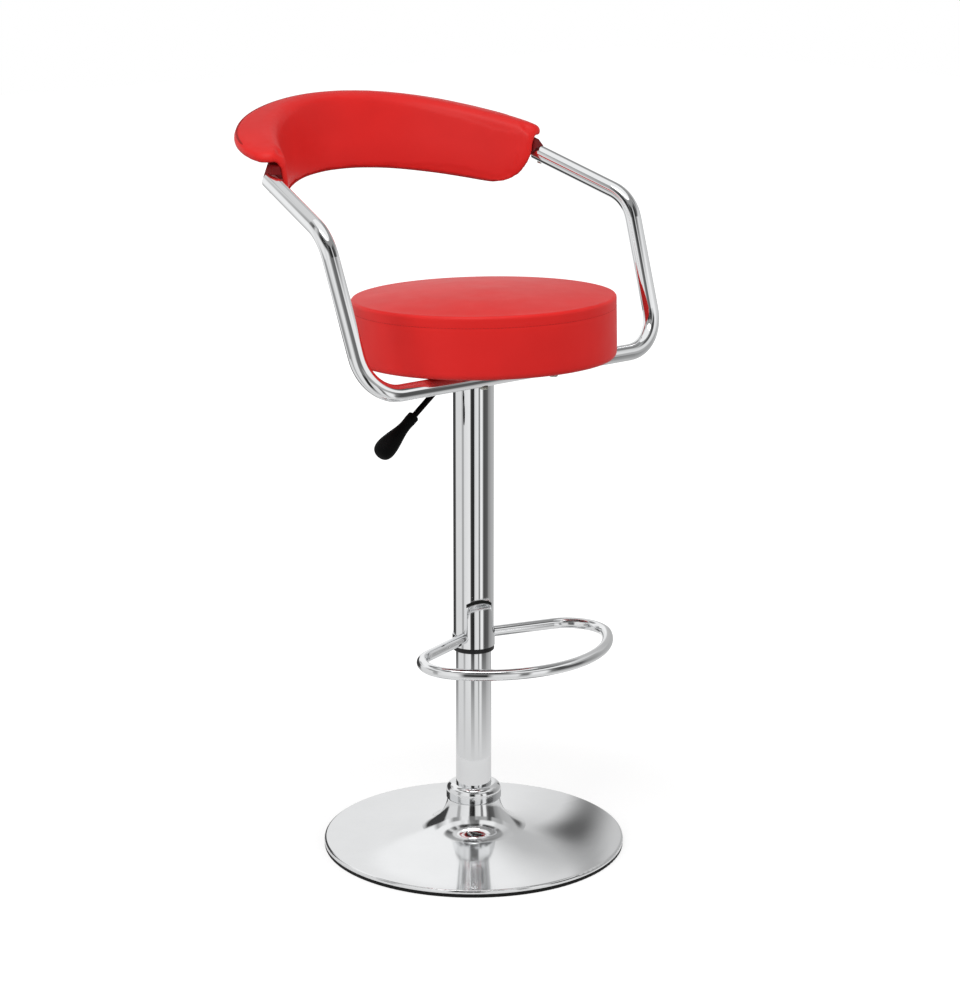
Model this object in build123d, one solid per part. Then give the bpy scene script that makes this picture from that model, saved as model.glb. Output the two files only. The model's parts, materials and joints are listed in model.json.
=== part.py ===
from build123d import *
from math import asin, atan, cos, pi, radians, sin, sqrt
import os

# Adjustable swivel stool: a trumpet base with a gas lift, a footrest on the sliding cover tube,
# a round padded seat, and a wrap-round arm and back rest on one bent tube.
# Millimetres. Z is up, the origin is on the floor on the column's axis, and the sitter faces -Y.

# ---- Clearances ----
RUN_FIT = 0.06          # radial gap of a piece that slides or turns on another
SEAT_FIT = 0.15         # radial gap of a piece that is pushed into another
PRESS_FIT = 0.05        # radial gap of a piece that is pressed into another
SKIN_GAP = 0.3          # gap between a soft piece and what it lies against

# ---- Base ----
BASE_R = 205.0          # outer radius of the pressed pan
SHEET = 1.5             # thickness of the pan's sheet
GASKET_H = 5.4          # height of the rubber ring on the floor
GASKET_W = 22.0         # width of that ring
GASKET_SET = 0.3        # how far its outer edge is set in from the pan's
GASKET_ROUND = 1.2
RIM_H = 4.9             # height of the pan's edge above the rubber
RIM_ROLL = 3.0          # radius of the pan's rolled edge
FLARE_R = 45.0          # radius of the sweep from dish to neck
NECK_Z = 64.0           # height of the pan's neck
NECK_LEAN = 5.0         # degrees that the neck stands off the vertical
PLATE_MARGIN = 18.0     # ballast plate, from its edge to the pan's
PLATE_T = 3.2
PLATE_HOLE_R = 19.0     # hole under the column for the rod's clip
HUB_WALL = 6.0          # sleeve that holds the fixed tube
HUB_H = 50.0
HUB_FLANGE_W = 34.0     # how far its foot reaches beyond the sleeve
HUB_FLANGE_T = 5.0
HUB_RIBS = 6
HUB_RIB_T = 4.0
HUB_SCREWS = 4
HUB_SCREW_IN = 14.0     # from the flange's edge to the screws
RING_W = 13.5           # chromed ring over the neck: how far it stands out from the tube
RING_H = 22.0
RING_FOOT_ROUND = 2.5
RING_OVER = 1.5         # how far the ring stands out over the pan's neck

# ---- Column ----
TUBE_R = 24.0           # fixed tube
TUBE_WALL = 1.5
COVER_AIR = 1.9         # gap between the fixed tube and the cover tube
COVER_WALL = 1.4        # cover tube, which slides with the seat
COVER_FOOT = 283.0      # height of the cover tube's lower end
DROP = 140.0            # how far the seat goes down from rest
RISE = 70.0             # and how far up

# ---- Gas lift ----
ROD_R = 5.0
ROD_FOOT = 3.4
GROOVE_H = 1.2          # groove at the rod's foot for the clip
CYL_R = 14.0
CYL_WALL = 1.6
CYL_TAPER = 0.8         # how much smaller the cylinder's top end is in radius
PISTON_H = 14.0
END_PLUG_H = 24.0
STOP_GAP = 15.0         # from the end plug to the piston with the seat at its highest
PIN_R = 3.0             # release pin in the cylinder's top
PIN_GAP = 0.6           # from the pin's tip to the lever
PIN_IN = 12.0           # how far above the valve's foot the pin starts
SOCKET_WALL = 3.5       # tapered socket that holds the cylinder's top
SOCKET_H = 48.0
BUSH_H = 55.0           # bush in the fixed tube's top
BUSH_GROOVES = 3
LIP = 3.0               # height of that bush's lip
TOP_GAP = 2.0           # from the lip to the socket with the seat at its lowest
END_PLATE_T = 5.0
BALL_R = 2.0
BALLS = 10
BALL_RING_R = 9.3
BALL_SINK = 0.6         # how deep the balls lie in a race
RACE_R = 13.0
RACE_T = 2.0
BUFFER_H = 14.0
BUFFER_GAP = 5.9        # from the buffer to the cylinder with the seat at its lowest

# ---- Footrest ----
CUFF_WALL = 1.3
CUFF_BAND = 16.0        # height of the cuff all round
CUFF_TONGUE = 62.0      # height of its tongue
CUFF_HALF_ANGLE = 40.0  # half of the tongue's width, in degrees round the tube
CUFF_TURN = -22.0       # where the tongue points, from straight ahead
CUFF_SWEEP = 14.0       # radius where the tongue's sides run into the band
TRIM_H = 4.0            # black bead along the tongue's top
TRIM_ARCH = 6.0         # how much higher its middle is
TRIM_PROUD = 0.5
CUFF_BUSH_H = 7.0       # black ring under the cuff
CUFF_BUSH_PROUD = 0.7
CUFF_SLEEVE_H = 30.0    # height of that ring's sleeve inside the cover tube
GRUB_R = 2.5            # grub screws of the cuff
LOOP_R = 7.5            # footrest tube
LOOP_WALL = 1.2
LOOP_UP = 14.3          # height of the loop above the cover tube's foot
LOOP_FRONT = -187.2     # Y of the loop's front
LOOP_FRONT_R = 166.0    # plan radius of its front
LOOP_CORNER_R = 52.0    # plan radius of its corners
LOOP_ROOT_Y = -5.4      # Y where its arms leave the cuff
LOOP_RAKE = 17.9        # degrees that the arms slope forward

# ---- Seat ----
SEAT_Y = -22.6          # centre of the cushion
SEAT_Z = 680.3          # underside of the cushion at its centre
SEAT_TILT = 1.6         # degrees, front edge higher
SEAT_R = 173.0
SEAT_SIDE = 81.0        # height of the cushion at its top edge
SEAT_CROWN = 6.5        # how much higher its middle is
SEAT_TOP_ROLL = 10.0
SEAT_FOOT_ROLL = 6.0
BOARD_MARGIN = 15.0     # from the board's edge to the cushion's
BOARD_T = 12.0

# ---- Mechanism ----
MECH_W = 160.0          # plate, across
MECH_D = 140.0          # plate, front to back
MECH_T = 2.5
MECH_CORNER = 15.0
MECH_HOLE_X = 62.0
MECH_HOLE_Y = 52.0
BOX_DROP = 28.0         # from the cushion's underside to the underside of the mechanism's box
BOX_LEFT = -30.0
BOX_RIGHT = 40.0
BOX_HALF_D = 34.0
BOX_CORNER = 8.0
BOLT_R = 3.0
BOLT_HEAD_R = 5.5
BOLT_HEAD_H = 4.0
BOLT_FIT = 0.4          # radial gap of a bolt in a plain hole
TEE_WALL = 1.1          # tee nuts in the board
TEE_FLANGE_R = 8.8
TEE_FLANGE_T = 1.2

# ---- Lever ----
LEVER_R = 4.0
LEVER_UP = 12.0         # height of its pivot above the underside of the box
LEVER_PIVOT_X = -20.0
LEVER_CORNER_X = -33.0  # where the rod turns down
LEVER_BEND = 9.0
LEVER_DROP = 37.0       # degrees below level
LEVER_HUB_R = 6.5
LEVER_HUB_W = 16.0
PIVOT_R = 2.5
EAR_T = 2.5             # ears of the bracket that hold the pivot pin
EAR_R = 5.0
EAR_GAP = 0.5           # from an ear to the lever's hub
GRIP_X = -102.0         # where the grip starts
GRIP_L = 74.0
GRIP_BORE = 24.0        # how far the rod goes into it
GRIP_COLLAR_R = 7.8
GRIP_COLLAR_L = 9.0
GRIP_NECK_R = 7.4
GRIP_BULB_R = 12.6

# ---- Arms ----
ARM_R = 11.0
ARM_WALL = 1.5
ARM_BEND = 55.0
ARM_SHOE_Y = -90.0      # crossbar under the seat
ARM_FOOT_X = 250.0
ELBOW_X = 259.8         # elbow: its place in plan, and its height above the seat's underside
ELBOW_Y = -22.0
ELBOW_UP = 184.6
END_X = 228.6           # where the tube ends under the back rest, likewise
END_Y = 131.8
END_UP = 235.6
CROSS_BOLT_X = 60.0
CROSS_HEAD_H = 3.0

# ---- Back rest ----
BACK_Y = 122.0          # front ends of the rest
WALL_A = 237.0          # plan ellipse of the inner face: half width, half depth, centre
WALL_B = 352.0
WALL_Y = -76.7
WALL_T = 10.0
WALL_LEAN = 15.0        # how far the wall leans out from foot to crest
LEDGE_A = 242.8         # plan ellipse of the ledge's outer edge
LEDGE_B = 162.9
LEDGE_Y = 151.8
LEDGE_T = 15.0
LEVEL_Y = 109.0         # where the three heights below are measured; each rises further back
FOOT_UP = 184.4         # wall's lower edge above the seat's underside, its rise and its curve
FOOT_RISE = 0.168
FOOT_CURVE = 0.00016
CREST_UP = 273.2        # crest between wall and ledge, likewise
CREST_RISE = 0.25
BRIM_UP = 266.6         # ledge's outer edge, likewise
BRIM_RISE = 0.084
BRIM_CURVE = 0.00086
BACK_ROLL = 14.0        # radius between the inner face and the ledge
BACK_EDGE = 4.5         # radius of the wall's lower edge
FOOT_CORNER = 42.0      # radius of the wall's lower front corners
LEDGE_TIP = 26.0        # radius of the ledge's front corners in plan
POLE_AHEAD = 3.0        # how far the pole of the rest's sections lies ahead of its front ends
STATIONS = 13           # sections round the rest
LUG_IN = 25.0           # lug over each tube end: its reach towards the wall, from the tube's axis
LUG_UP = 18.5           # its height above that axis
LUG_LOW = 4.0           # its depth below that axis beside the wall
LUG_LEAN = 2.0          # how far inside that axis its outer side ends at the ledge
LUG_BACK = 15.0         # how far it runs back past the tube's end along the ledge
LUG_FORE = 7.0          # how far it runs forwards on top of the tube
SPIGOT_L = 20.0         # length that goes into the tube
LUG_SCREW_R = 2.0
LUG_HEAD_R = 3.4
LUG_HEAD_H = 1.6

# ---- Worked out from the sizes above ----
PLATE_Z = GASKET_H
HUB_Z = PLATE_Z + PLATE_T
HUB_R = TUBE_R + HUB_WALL
HUB_FLANGE_R = HUB_R + HUB_FLANGE_W
RING_R = TUBE_R + RING_W
NECK_R = RING_R - RING_OVER
PLATE_R = BASE_R - PLATE_MARGIN
TUBE_BORE_R = TUBE_R - TUBE_WALL
COVER_BORE_R = TUBE_R + COVER_AIR
COVER_R = COVER_BORE_R + COVER_WALL
CYL_BORE_R = CYL_R - CYL_WALL
SOCKET_R = CYL_R + SOCKET_WALL
BOX_Z = SEAT_Z - BOX_DROP
LEVER_Z = BOX_Z + LEVER_UP
RACE_Z = HUB_Z + END_PLATE_T
BALL_Z = RACE_Z + RACE_T + BALL_R - BALL_SINK
TOP_RACE_Z = BALL_Z + BALL_R - BALL_SINK
BUFFER_Z = TOP_RACE_Z + RACE_T
CYL_FOOT = BUFFER_Z + BUFFER_H + BUFFER_GAP + DROP
SOCKET_Z = BOX_Z - SOCKET_H
TUBE_TOP = SOCKET_Z - DROP - LIP - TOP_GAP
PISTON_Z = CYL_FOOT + END_PLUG_H + RISE + STOP_GAP
VALVE_Z = SOCKET_Z - 4.0
CYL_TOP = BOX_Z - 2.0
PIN_TIP = LEVER_Z - LEVER_R - PIN_GAP
CUFF_R = COVER_R + SEAT_FIT + CUFF_WALL
LOOP_Z = COVER_FOOT + LOOP_UP
GROOVE_Z = HUB_Z - 1.6
BOARD_R = SEAT_R - BOARD_MARGIN
SEAT_FRAME = Pos(0, SEAT_Y, SEAT_Z) * Rot(-SEAT_TILT, 0, 0)
MECH_FRAME = SEAT_FRAME * Pos(0, -SEAT_Y, 0)
LEVER_DIR = Vector(-cos(radians(LEVER_DROP)), 0, -sin(radians(LEVER_DROP)))
POLE_Y = BACK_Y - POLE_AHEAD
UP = (Align.CENTER, Align.CENTER, Align.MIN)


def rod(radius, z0, z1):
    """Round bar on the column's axis."""
    return Pos(0, 0, z0) * Cylinder(radius, z1 - z0, align=UP)


def ring(r_in, r_out, z0, z1):
    return rod(r_out, z0, z1) - rod(r_in, z0 - 1, z1 + 1)


def lathe(*edges):
    """Solid turned about the column's axis from a closed half-section in X and Z."""
    return revolve(Plane.XZ * make_face(Curve() + list(edges)), Axis.Z)


def turned(*points):
    return lathe(Polyline(*points, close=True))


def around(count, radius, start=0.0):
    """Places evenly round the column's axis."""
    step = 360.0 / count
    return [Rot(0, 0, start + i * step) * Pos(radius, 0, 0) for i in range(count)]


def tube_along(path, radius, wall):
    """Round tube swept along a path."""
    section = Plane(path @ 0, z_dir=path % 0) * (Circle(radius) - Circle(radius - wall))
    return sweep(section, path)


# ---- Base ----

def pan_skin(inset):
    """Half-section of one face of the pan, from the floor edge in to the neck."""
    rim_x = BASE_R - RIM_ROLL
    rim_z = GASKET_H + RIM_H
    lean = radians(NECK_LEAN)
    flare_x = NECK_R + FLARE_R * cos(lean)
    flare_z = NECK_Z + FLARE_R * sin(lean)
    dx = rim_x - flare_x
    dz = flare_z - rim_z
    dish_r = (dx * dx + dz * dz - FLARE_R ** 2) / (2 * (dz - FLARE_R))
    turn = asin(dx / (dish_r - FLARE_R))
    top = (rim_x, rim_z - inset)
    meet = (
        rim_x - (dish_r + inset) * sin(turn),
        rim_z + dish_r - (dish_r + inset) * cos(turn),
    )
    neck = (
        flare_x - (FLARE_R + inset) * cos(lean),
        flare_z - (FLARE_R + inset) * sin(lean),
    )
    edge = (BASE_R - inset, GASKET_H)
    shoulder = (BASE_R - inset, rim_z - RIM_ROLL)
    upright = Line(edge, shoulder)
    roll = TangentArc(shoulder, top, tangent=(0, 1))
    dish = TangentArc(top, meet, tangent=(-1, 0))
    flare = TangentArc(meet, neck, tangent=dish % 1)
    return [upright, roll, dish, flare], edge, neck


def base_pan():
    outer, outer_edge, outer_neck = pan_skin(0)
    inner, inner_edge, inner_neck = pan_skin(SHEET)
    return lathe(*outer, *inner, Line(outer_edge, inner_edge), Line(outer_neck, inner_neck))


def base_gasket():
    foot = ring(BASE_R - GASKET_W, BASE_R - GASKET_SET, 0, GASKET_H)
    return fillet(foot.edges().group_by(Axis.Z)[0].sort_by(SortBy.RADIUS)[-1], GASKET_ROUND)


def ballast_plate():
    plate = ring(PLATE_HOLE_R, PLATE_R, PLATE_Z, HUB_Z)
    for place in hub_screw_places():
        plate -= place * Pos(0, 0, PLATE_Z) * screw_shape(HUB_FLANGE_T + PLATE_T, SEAT_FIT)
    return plate


def hub_screw_places():
    return around(HUB_SCREWS, HUB_FLANGE_R - HUB_SCREW_IN, 45)


def screw_shape(length, gap=0.0):
    """Countersunk screw, its head's face at zero and its shank upwards."""
    head = Cone(BOLT_HEAD_R + gap, BOLT_R + gap, BOLT_HEAD_R - BOLT_R, align=UP)
    return head + Cylinder(BOLT_R + gap, length, align=UP)


def hub_screws():
    screw = Pos(0, 0, PLATE_Z) * screw_shape(HUB_FLANGE_T + PLATE_T - 0.5)
    return Compound([place * screw for place in hub_screw_places()])


def base_hub():
    sleeve = rod(HUB_R, HUB_Z, HUB_Z + HUB_H) + rod(HUB_FLANGE_R, HUB_Z, HUB_Z + HUB_FLANGE_T)
    rib = Polyline(
        (HUB_R - 1, HUB_Z + 1),
        (HUB_FLANGE_R - 8, HUB_Z + 1),
        (HUB_FLANGE_R - 8, HUB_Z + HUB_FLANGE_T + 2),
        (HUB_R - 1, HUB_Z + HUB_H - 14),
        close=True,
    )
    rib = extrude(Plane.XZ * make_face(rib), amount=HUB_RIB_T / 2, both=True)
    for i in range(HUB_RIBS):
        sleeve += Rot(0, 0, (i + 0.25) * 360 / HUB_RIBS) * rib
    sleeve -= rod(TUBE_R + SEAT_FIT, HUB_Z - 1, HUB_Z + HUB_H + 1)
    for place in hub_screw_places():
        sleeve -= place * Pos(0, 0, PLATE_Z) * Cylinder(BOLT_R + PRESS_FIT, HUB_H, align=UP)
    return sleeve


def neck_ring():
    z0 = NECK_Z
    crown = RING_R - TUBE_R - SEAT_FIT
    blank = ring(TUBE_R + SEAT_FIT, RING_R, z0, z0 + RING_H)
    top = blank.edges().group_by(Axis.Z)[-1].sort_by(SortBy.RADIUS)[-1]
    blank = fillet(top, min(crown * 0.75, RING_H * 0.5))
    foot = blank.edges().group_by(Axis.Z)[0].sort_by(SortBy.RADIUS)[-1]
    return fillet(foot, RING_FOOT_ROUND)


# ---- Fixed tube and its fittings ----

def lower_tube():
    return ring(TUBE_BORE_R, TUBE_R, HUB_Z, TUBE_TOP)


def tube_end_plate():
    return ring(ROD_R + 0.4, TUBE_BORE_R - SEAT_FIT, HUB_Z, RACE_Z)


def bearing_lower_race():
    race = ring(ROD_R + 0.6, RACE_R, RACE_Z, RACE_Z + RACE_T)
    return race - ball_track()


def ball_track():
    """Groove that the balls run in."""
    return Pos(0, 0, BALL_Z) * Torus(BALL_RING_R, BALL_R + RUN_FIT)


def bearing_balls():
    ball = Pos(0, 0, BALL_Z) * Sphere(BALL_R)
    return Compound([place * ball for place in around(BALLS, BALL_RING_R)])


def bearing_cage():
    half = (BALL_R - BALL_SINK) * 0.6
    cage = ring(ROD_R + 0.6, RACE_R, BALL_Z - half, BALL_Z + half)
    for place in around(BALLS, BALL_RING_R):
        cage -= place * Pos(0, 0, BALL_Z) * Cylinder(BALL_R + RUN_FIT, 4 * half)
    return cage


def bearing_upper_race():
    return ring(ROD_R + RUN_FIT, RACE_R, TOP_RACE_Z, BUFFER_Z) - ball_track()


def rubber_buffer():
    body = ring(ROD_R + SEAT_FIT, RACE_R - 0.5, BUFFER_Z, BUFFER_Z + BUFFER_H)
    waist = Pos(0, 0, BUFFER_Z + BUFFER_H / 2) * Torus(RACE_R + 1.5, BUFFER_H / 4)
    return body - waist


def cylinder_guide_bush():
    body = ring(CYL_R + RUN_FIT, TUBE_BORE_R - SEAT_FIT, TUBE_TOP - BUSH_H, TUBE_TOP)
    body += ring(CYL_R + RUN_FIT, TUBE_R, TUBE_TOP, TUBE_TOP + LIP)
    pitch = BUSH_H / (BUSH_GROOVES + 1)
    for i in range(BUSH_GROOVES):
        z0 = TUBE_TOP - BUSH_H + (i + 0.7) * pitch
        body -= ring(TUBE_BORE_R - 3, TUBE_BORE_R + 1, z0, z0 + pitch * 0.6)
    return body


# ---- Rod, which turns on the bearing ----

def piston_rod():
    bar = rod(ROD_R, ROD_FOOT, PISTON_Z + PISTON_H + 3)
    bar = chamfer(bar.edges().group_by(Axis.Z)[0], 0.8)
    return bar - ring(ROD_R - 1.2, ROD_R + 1, GROOVE_Z - GROOVE_H + 0.1, GROOVE_Z + 0.1)


def rod_clip():
    clip = ring(ROD_R - 1.1, ROD_R + 3.5, GROOVE_Z - GROOVE_H + 0.2, GROOVE_Z)
    return clip - Pos(0, ROD_R + 2, GROOVE_Z) * Box(ROD_R, 2 * ROD_R, 3 * GROOVE_H)


def clip_washer():
    return ring(ROD_R + SEAT_FIT, ROD_R + 6, GROOVE_Z, HUB_Z - 0.4)


def gas_piston():
    body = ring(ROD_R + PRESS_FIT, CYL_BORE_R - RUN_FIT, PISTON_Z, PISTON_Z + PISTON_H)
    groove_z = PISTON_Z + PISTON_H / 2
    return body - ring(CYL_BORE_R - 1.8, CYL_BORE_R, groove_z - 1.5, groove_z + 1.5)


# ---- Gas cylinder, fixed in the mechanism ----

def cylinder_shell(gap):
    """Outside of the gas cylinder, grown by a gap, with its tapered top end."""
    foot = CYL_R + gap
    tip = CYL_R - CYL_TAPER + gap
    return turned((0, CYL_FOOT), (foot, CYL_FOOT), (foot, SOCKET_Z), (tip, CYL_TOP), (0, CYL_TOP))


def gas_cylinder():
    bore = CYL_BORE_R
    top_bore = CYL_BORE_R - CYL_TAPER
    shell = cylinder_shell(0) - rod(bore, CYL_FOOT - 1, VALVE_Z)
    return shell - rod(top_bore, VALVE_Z - 1, CYL_TOP + 1)


def cylinder_end_plug():
    plug = ring(ROD_R + RUN_FIT, CYL_BORE_R - PRESS_FIT, CYL_FOOT, CYL_FOOT + END_PLUG_H)
    return plug - ring(CYL_BORE_R - 1.2, CYL_BORE_R, CYL_FOOT + 10, CYL_FOOT + 13)


def valve_body():
    body = rod(CYL_BORE_R - CYL_TAPER - PRESS_FIT, VALVE_Z, CYL_TOP - 1)
    return body - rod(PIN_R + RUN_FIT, VALVE_Z + 5, CYL_TOP)


def valve_pin():
    stem = rod(PIN_R, VALVE_Z + PIN_IN, PIN_TIP - PIN_R)
    return stem + Pos(0, 0, PIN_TIP - PIN_R) * Sphere(PIN_R)


# ---- Cover tube and footrest ----

def upper_tube():
    return ring(COVER_BORE_R, COVER_R, COVER_FOOT, BOX_Z)


def cover_flange():
    """Ring that centres the cover tube round the mechanism's socket."""
    body = ring(SOCKET_R + SEAT_FIT, COVER_BORE_R - SEAT_FIT, BOX_Z - 14, BOX_Z)
    return body - ring(SOCKET_R + 2.5, COVER_BORE_R - 2.5, BOX_Z - 15, BOX_Z - 4)


def collar_bush():
    flange_r = COVER_R + CUFF_BUSH_PROUD
    flange = ring(TUBE_R + RUN_FIT, flange_r, COVER_FOOT - CUFF_BUSH_H, COVER_FOOT)
    flange = fillet(flange.edges().filter_by(GeomType.CIRCLE).sort_by(SortBy.RADIUS)[-2:], 1.5)
    sleeve_r = COVER_BORE_R - PRESS_FIT
    return flange + ring(TUBE_R + RUN_FIT, sleeve_r, COVER_FOOT, COVER_FOOT + CUFF_SLEEVE_H)


def tongue_outline(grow):
    """Front view of the cuff: a band with a tongue that its sides sweep into."""
    half = CUFF_R * sin(radians(CUFF_HALF_ANGLE))
    band = COVER_FOOT + CUFF_BAND
    top = COVER_FOOT + CUFF_TONGUE + grow
    wide = CUFF_R + 2
    arm_l = Line((-wide, band), (-half - CUFF_SWEEP * 0.75, band))
    sweep_l = TangentArc(arm_l @ 1, (-half, band + CUFF_SWEEP), tangent=(1, 0))
    side_l = Line(sweep_l @ 1, (-half + 1, top - 4))
    crown = ThreePointArc((-half + 1, top - 4), (0, top + 2), (half - 1, top - 4))
    side_r = Line((half - 1, top - 4), (half, band + CUFF_SWEEP))
    sweep_r = TangentArc((half + CUFF_SWEEP * 0.75, band), side_r @ 1, tangent=(-1, 0))
    arm_r = Line(sweep_r @ 0, (wide, band))
    foot = Polyline((wide, band), (wide, COVER_FOOT - 1), (-wide, COVER_FOOT - 1), (-wide, band))
    return make_face(Curve() + [arm_l, sweep_l, side_l, crown, side_r, sweep_r, arm_r, foot])


def cuff_ring(z0, z1):
    return ring(COVER_R + SEAT_FIT, CUFF_R, z0, z1)


def collar():
    """Cuff round the cover tube's foot; its front carries a tongue."""
    front = extrude(Plane.XZ * tongue_outline(0), amount=CUFF_R + 5)
    band = cuff_ring(COVER_FOOT, COVER_FOOT + CUFF_BAND)
    tongue = cuff_ring(COVER_FOOT, COVER_FOOT + CUFF_TONGUE + 10) & front
    cuff = Rot(0, 0, CUFF_TURN) * (band + tongue)
    for place in cuff_screw_places():
        cuff -= place * Cylinder(GRUB_R + RUN_FIT, 20)
    return cuff


def cuff_screw_places():
    z = COVER_FOOT + CUFF_BAND / 2
    return [Rot(0, 0, a) * Pos(COVER_R + SEAT_FIT, 0, z) * Rot(0, 90, 0) for a in (65, 115)]


def collar_trim():
    """Black bead along the tongue's top edge."""
    half = CUFF_R * sin(radians(CUFF_HALF_ANGLE)) - 1
    low = COVER_FOOT + CUFF_TONGUE - 4
    high = low + TRIM_H
    under = ThreePointArc((-half, low), (0, low + TRIM_ARCH), (half, low))
    over = ThreePointArc((-half, high), (0, high + TRIM_ARCH), (half, high))
    ends = [Line(under @ 0, over @ 0), Line(under @ 1, over @ 1)]
    face = make_face(Curve() + [under, over] + ends)
    front = extrude(Plane.XZ * face, amount=CUFF_R + 5)
    bead = ring(COVER_R + SEAT_FIT, CUFF_R + TRIM_PROUD, low - 5, low + 20) & front
    return Rot(0, 0, CUFF_TURN) * bead


def collar_screws():
    """Two grub screws that hold the cuff to the cover tube, at its back."""
    screw = Cylinder(GRUB_R, CUFF_WALL + 1, align=UP)
    return Compound([place * screw for place in cuff_screw_places()])


def loop_half():
    """Plan centreline of one side of the footrest: cuff, arm, corner and half of the front."""
    rake = radians(LOOP_RAKE)
    ahead = Vector(cos(rake), -sin(rake), 0)
    square = Vector(-sin(rake), -cos(rake), 0)
    front = Vector(0, LOOP_FRONT + LOOP_FRONT_R, 0)
    root = Vector(COVER_R * 0.5, LOOP_ROOT_Y, 0)
    base = root + square * LOOP_CORNER_R - front
    b = base.dot(ahead)
    reach = -b + sqrt(b * b - base.dot(base) + (LOOP_FRONT_R - LOOP_CORNER_R) ** 2)
    bend = root + ahead * reach
    centre = bend + square * LOOP_CORNER_R
    out = (centre - front).normalized()
    meet = front + out * LOOP_FRONT_R
    arm = Line(root, bend)
    corner = TangentArc(bend, meet, tangent=ahead)
    nose = TangentArc(meet, Vector(0, LOOP_FRONT, 0), tangent=corner % 1)
    return arm, corner, nose


def footrest_loop():
    arm, corner, nose = loop_half()
    right = Wire([Edge(e.wrapped) for e in (arm, corner, nose)])
    half = tube_along(Pos(0, 0, LOOP_Z) * right, LOOP_R, LOOP_WALL)
    loop = half + mirror(half, Plane.YZ)
    return loop - rod(CUFF_R + 0.02, LOOP_Z - 20, LOOP_Z + 20)


# ---- Mechanism ----

def mech_places():
    return [Pos(x, y, 0) for x in (-MECH_HOLE_X, MECH_HOLE_X) for y in (-MECH_HOLE_Y, MECH_HOLE_Y)]


def mechanism_plate():
    outline = RectangleRounded(MECH_W, MECH_D, MECH_CORNER)
    for place in mech_places():
        outline -= place * Circle(BOLT_R + BOLT_FIT)
    return MECH_FRAME * Pos(0, 0, -MECH_T) * extrude(outline, amount=MECH_T)


def under_plate(shape, depth=MECH_T):
    """Trims a piece to a depth below the tilted plate's upper face."""
    return shape - MECH_FRAME * Pos(0, 0, -depth) * Box(400, 400, 100, align=UP)


def mechanism_box():
    width = BOX_RIGHT - BOX_LEFT
    mid = (BOX_RIGHT + BOX_LEFT) / 2
    depth = 2 * BOX_HALF_D
    outer = RectangleRounded(width, depth, BOX_CORNER)
    inner = RectangleRounded(width - 2 * MECH_T, depth - 2 * MECH_T, BOX_CORNER - MECH_T)
    box = Pos(mid, 0, BOX_Z) * extrude(outer, amount=BOX_DROP + 12)
    box -= Pos(mid, 0, BOX_Z + MECH_T) * extrude(inner, amount=BOX_DROP + 12)
    box -= rod(SOCKET_R + SEAT_FIT, BOX_Z - 1, BOX_Z + MECH_T + 1)
    slot_z = BOX_Z + MECH_T + 1.5
    box -= Pos(BOX_LEFT, 0, slot_z) * Box(4 * MECH_T, 2 * LEVER_R + 7, 40, align=UP)
    return under_plate(box)


def taper_socket():
    return rod(SOCKET_R, SOCKET_Z, BOX_Z + MECH_T) - cylinder_shell(RUN_FIT / 2) \
        - rod(CYL_R - CYL_TAPER, CYL_TOP - 1, BOX_Z + MECH_T + 1)


def mechanism_bolts():
    head = Pos(0, 0, -MECH_T - BOLT_HEAD_H) * extrude(RegularPolygon(BOLT_HEAD_R, 6), BOLT_HEAD_H)
    bolt = head + Pos(0, 0, -MECH_T - 1) * Cylinder(BOLT_R, BOARD_T + MECH_T, align=UP)
    return Compound([MECH_FRAME * place * bolt for place in mech_places()])


def pivot_place():
    return Pos(LEVER_PIVOT_X, 0, LEVER_Z) * Rot(90, 0, 0)


def lever_bracket():
    """Bent strip under the plate; the lever's pin goes through its two ears."""
    inner = LEVER_HUB_W / 2 + EAR_GAP
    outer = inner + EAR_T
    ear = pivot_place() * Cylinder(EAR_R, 2 * outer)
    web = Pos(LEVER_PIVOT_X, 0, LEVER_Z) * Box(2 * EAR_R, 2 * outer, 40, align=UP)
    between = Pos(LEVER_PIVOT_X, 0, LEVER_Z) * Box(4 * EAR_R, 2 * inner, 60)
    strip = under_plate(ear + web) - under_plate(between, MECH_T + EAR_T)
    return strip - pivot_place() * Cylinder(PIVOT_R + PRESS_FIT, 60)


def lever_pivot_pin():
    reach = LEVER_HUB_W / 2 + EAR_GAP + EAR_T + 1
    pin = Cylinder(PIVOT_R, 2 * reach)
    pin += Pos(0, 0, reach) * Cylinder(PIVOT_R + 1.5, 1.5, align=UP)
    return pivot_place() * pin


# ---- Lever ----

def lever_line(x, beyond=0.0):
    """Point on the sloping part of the lever: its X, and a length further along it."""
    run = (LEVER_CORNER_X - x) / cos(radians(LEVER_DROP)) + beyond
    return Vector(LEVER_CORNER_X, 0, LEVER_Z) + LEVER_DIR * run


def lever_rod():
    inner = Vector(PIN_R + 2, 0, LEVER_Z)
    outer = lever_line(GRIP_X, GRIP_BORE - 1)
    path = FilletPolyline(inner, (LEVER_CORNER_X, 0, LEVER_Z), outer, radius=LEVER_BEND)
    bar = sweep(Plane(path @ 0, z_dir=path % 0) * Circle(LEVER_R), path)
    hub = pivot_place() * Cylinder(LEVER_HUB_R, LEVER_HUB_W)
    return bar + hub - pivot_place() * Cylinder(PIVOT_R + RUN_FIT, 40)


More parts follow.
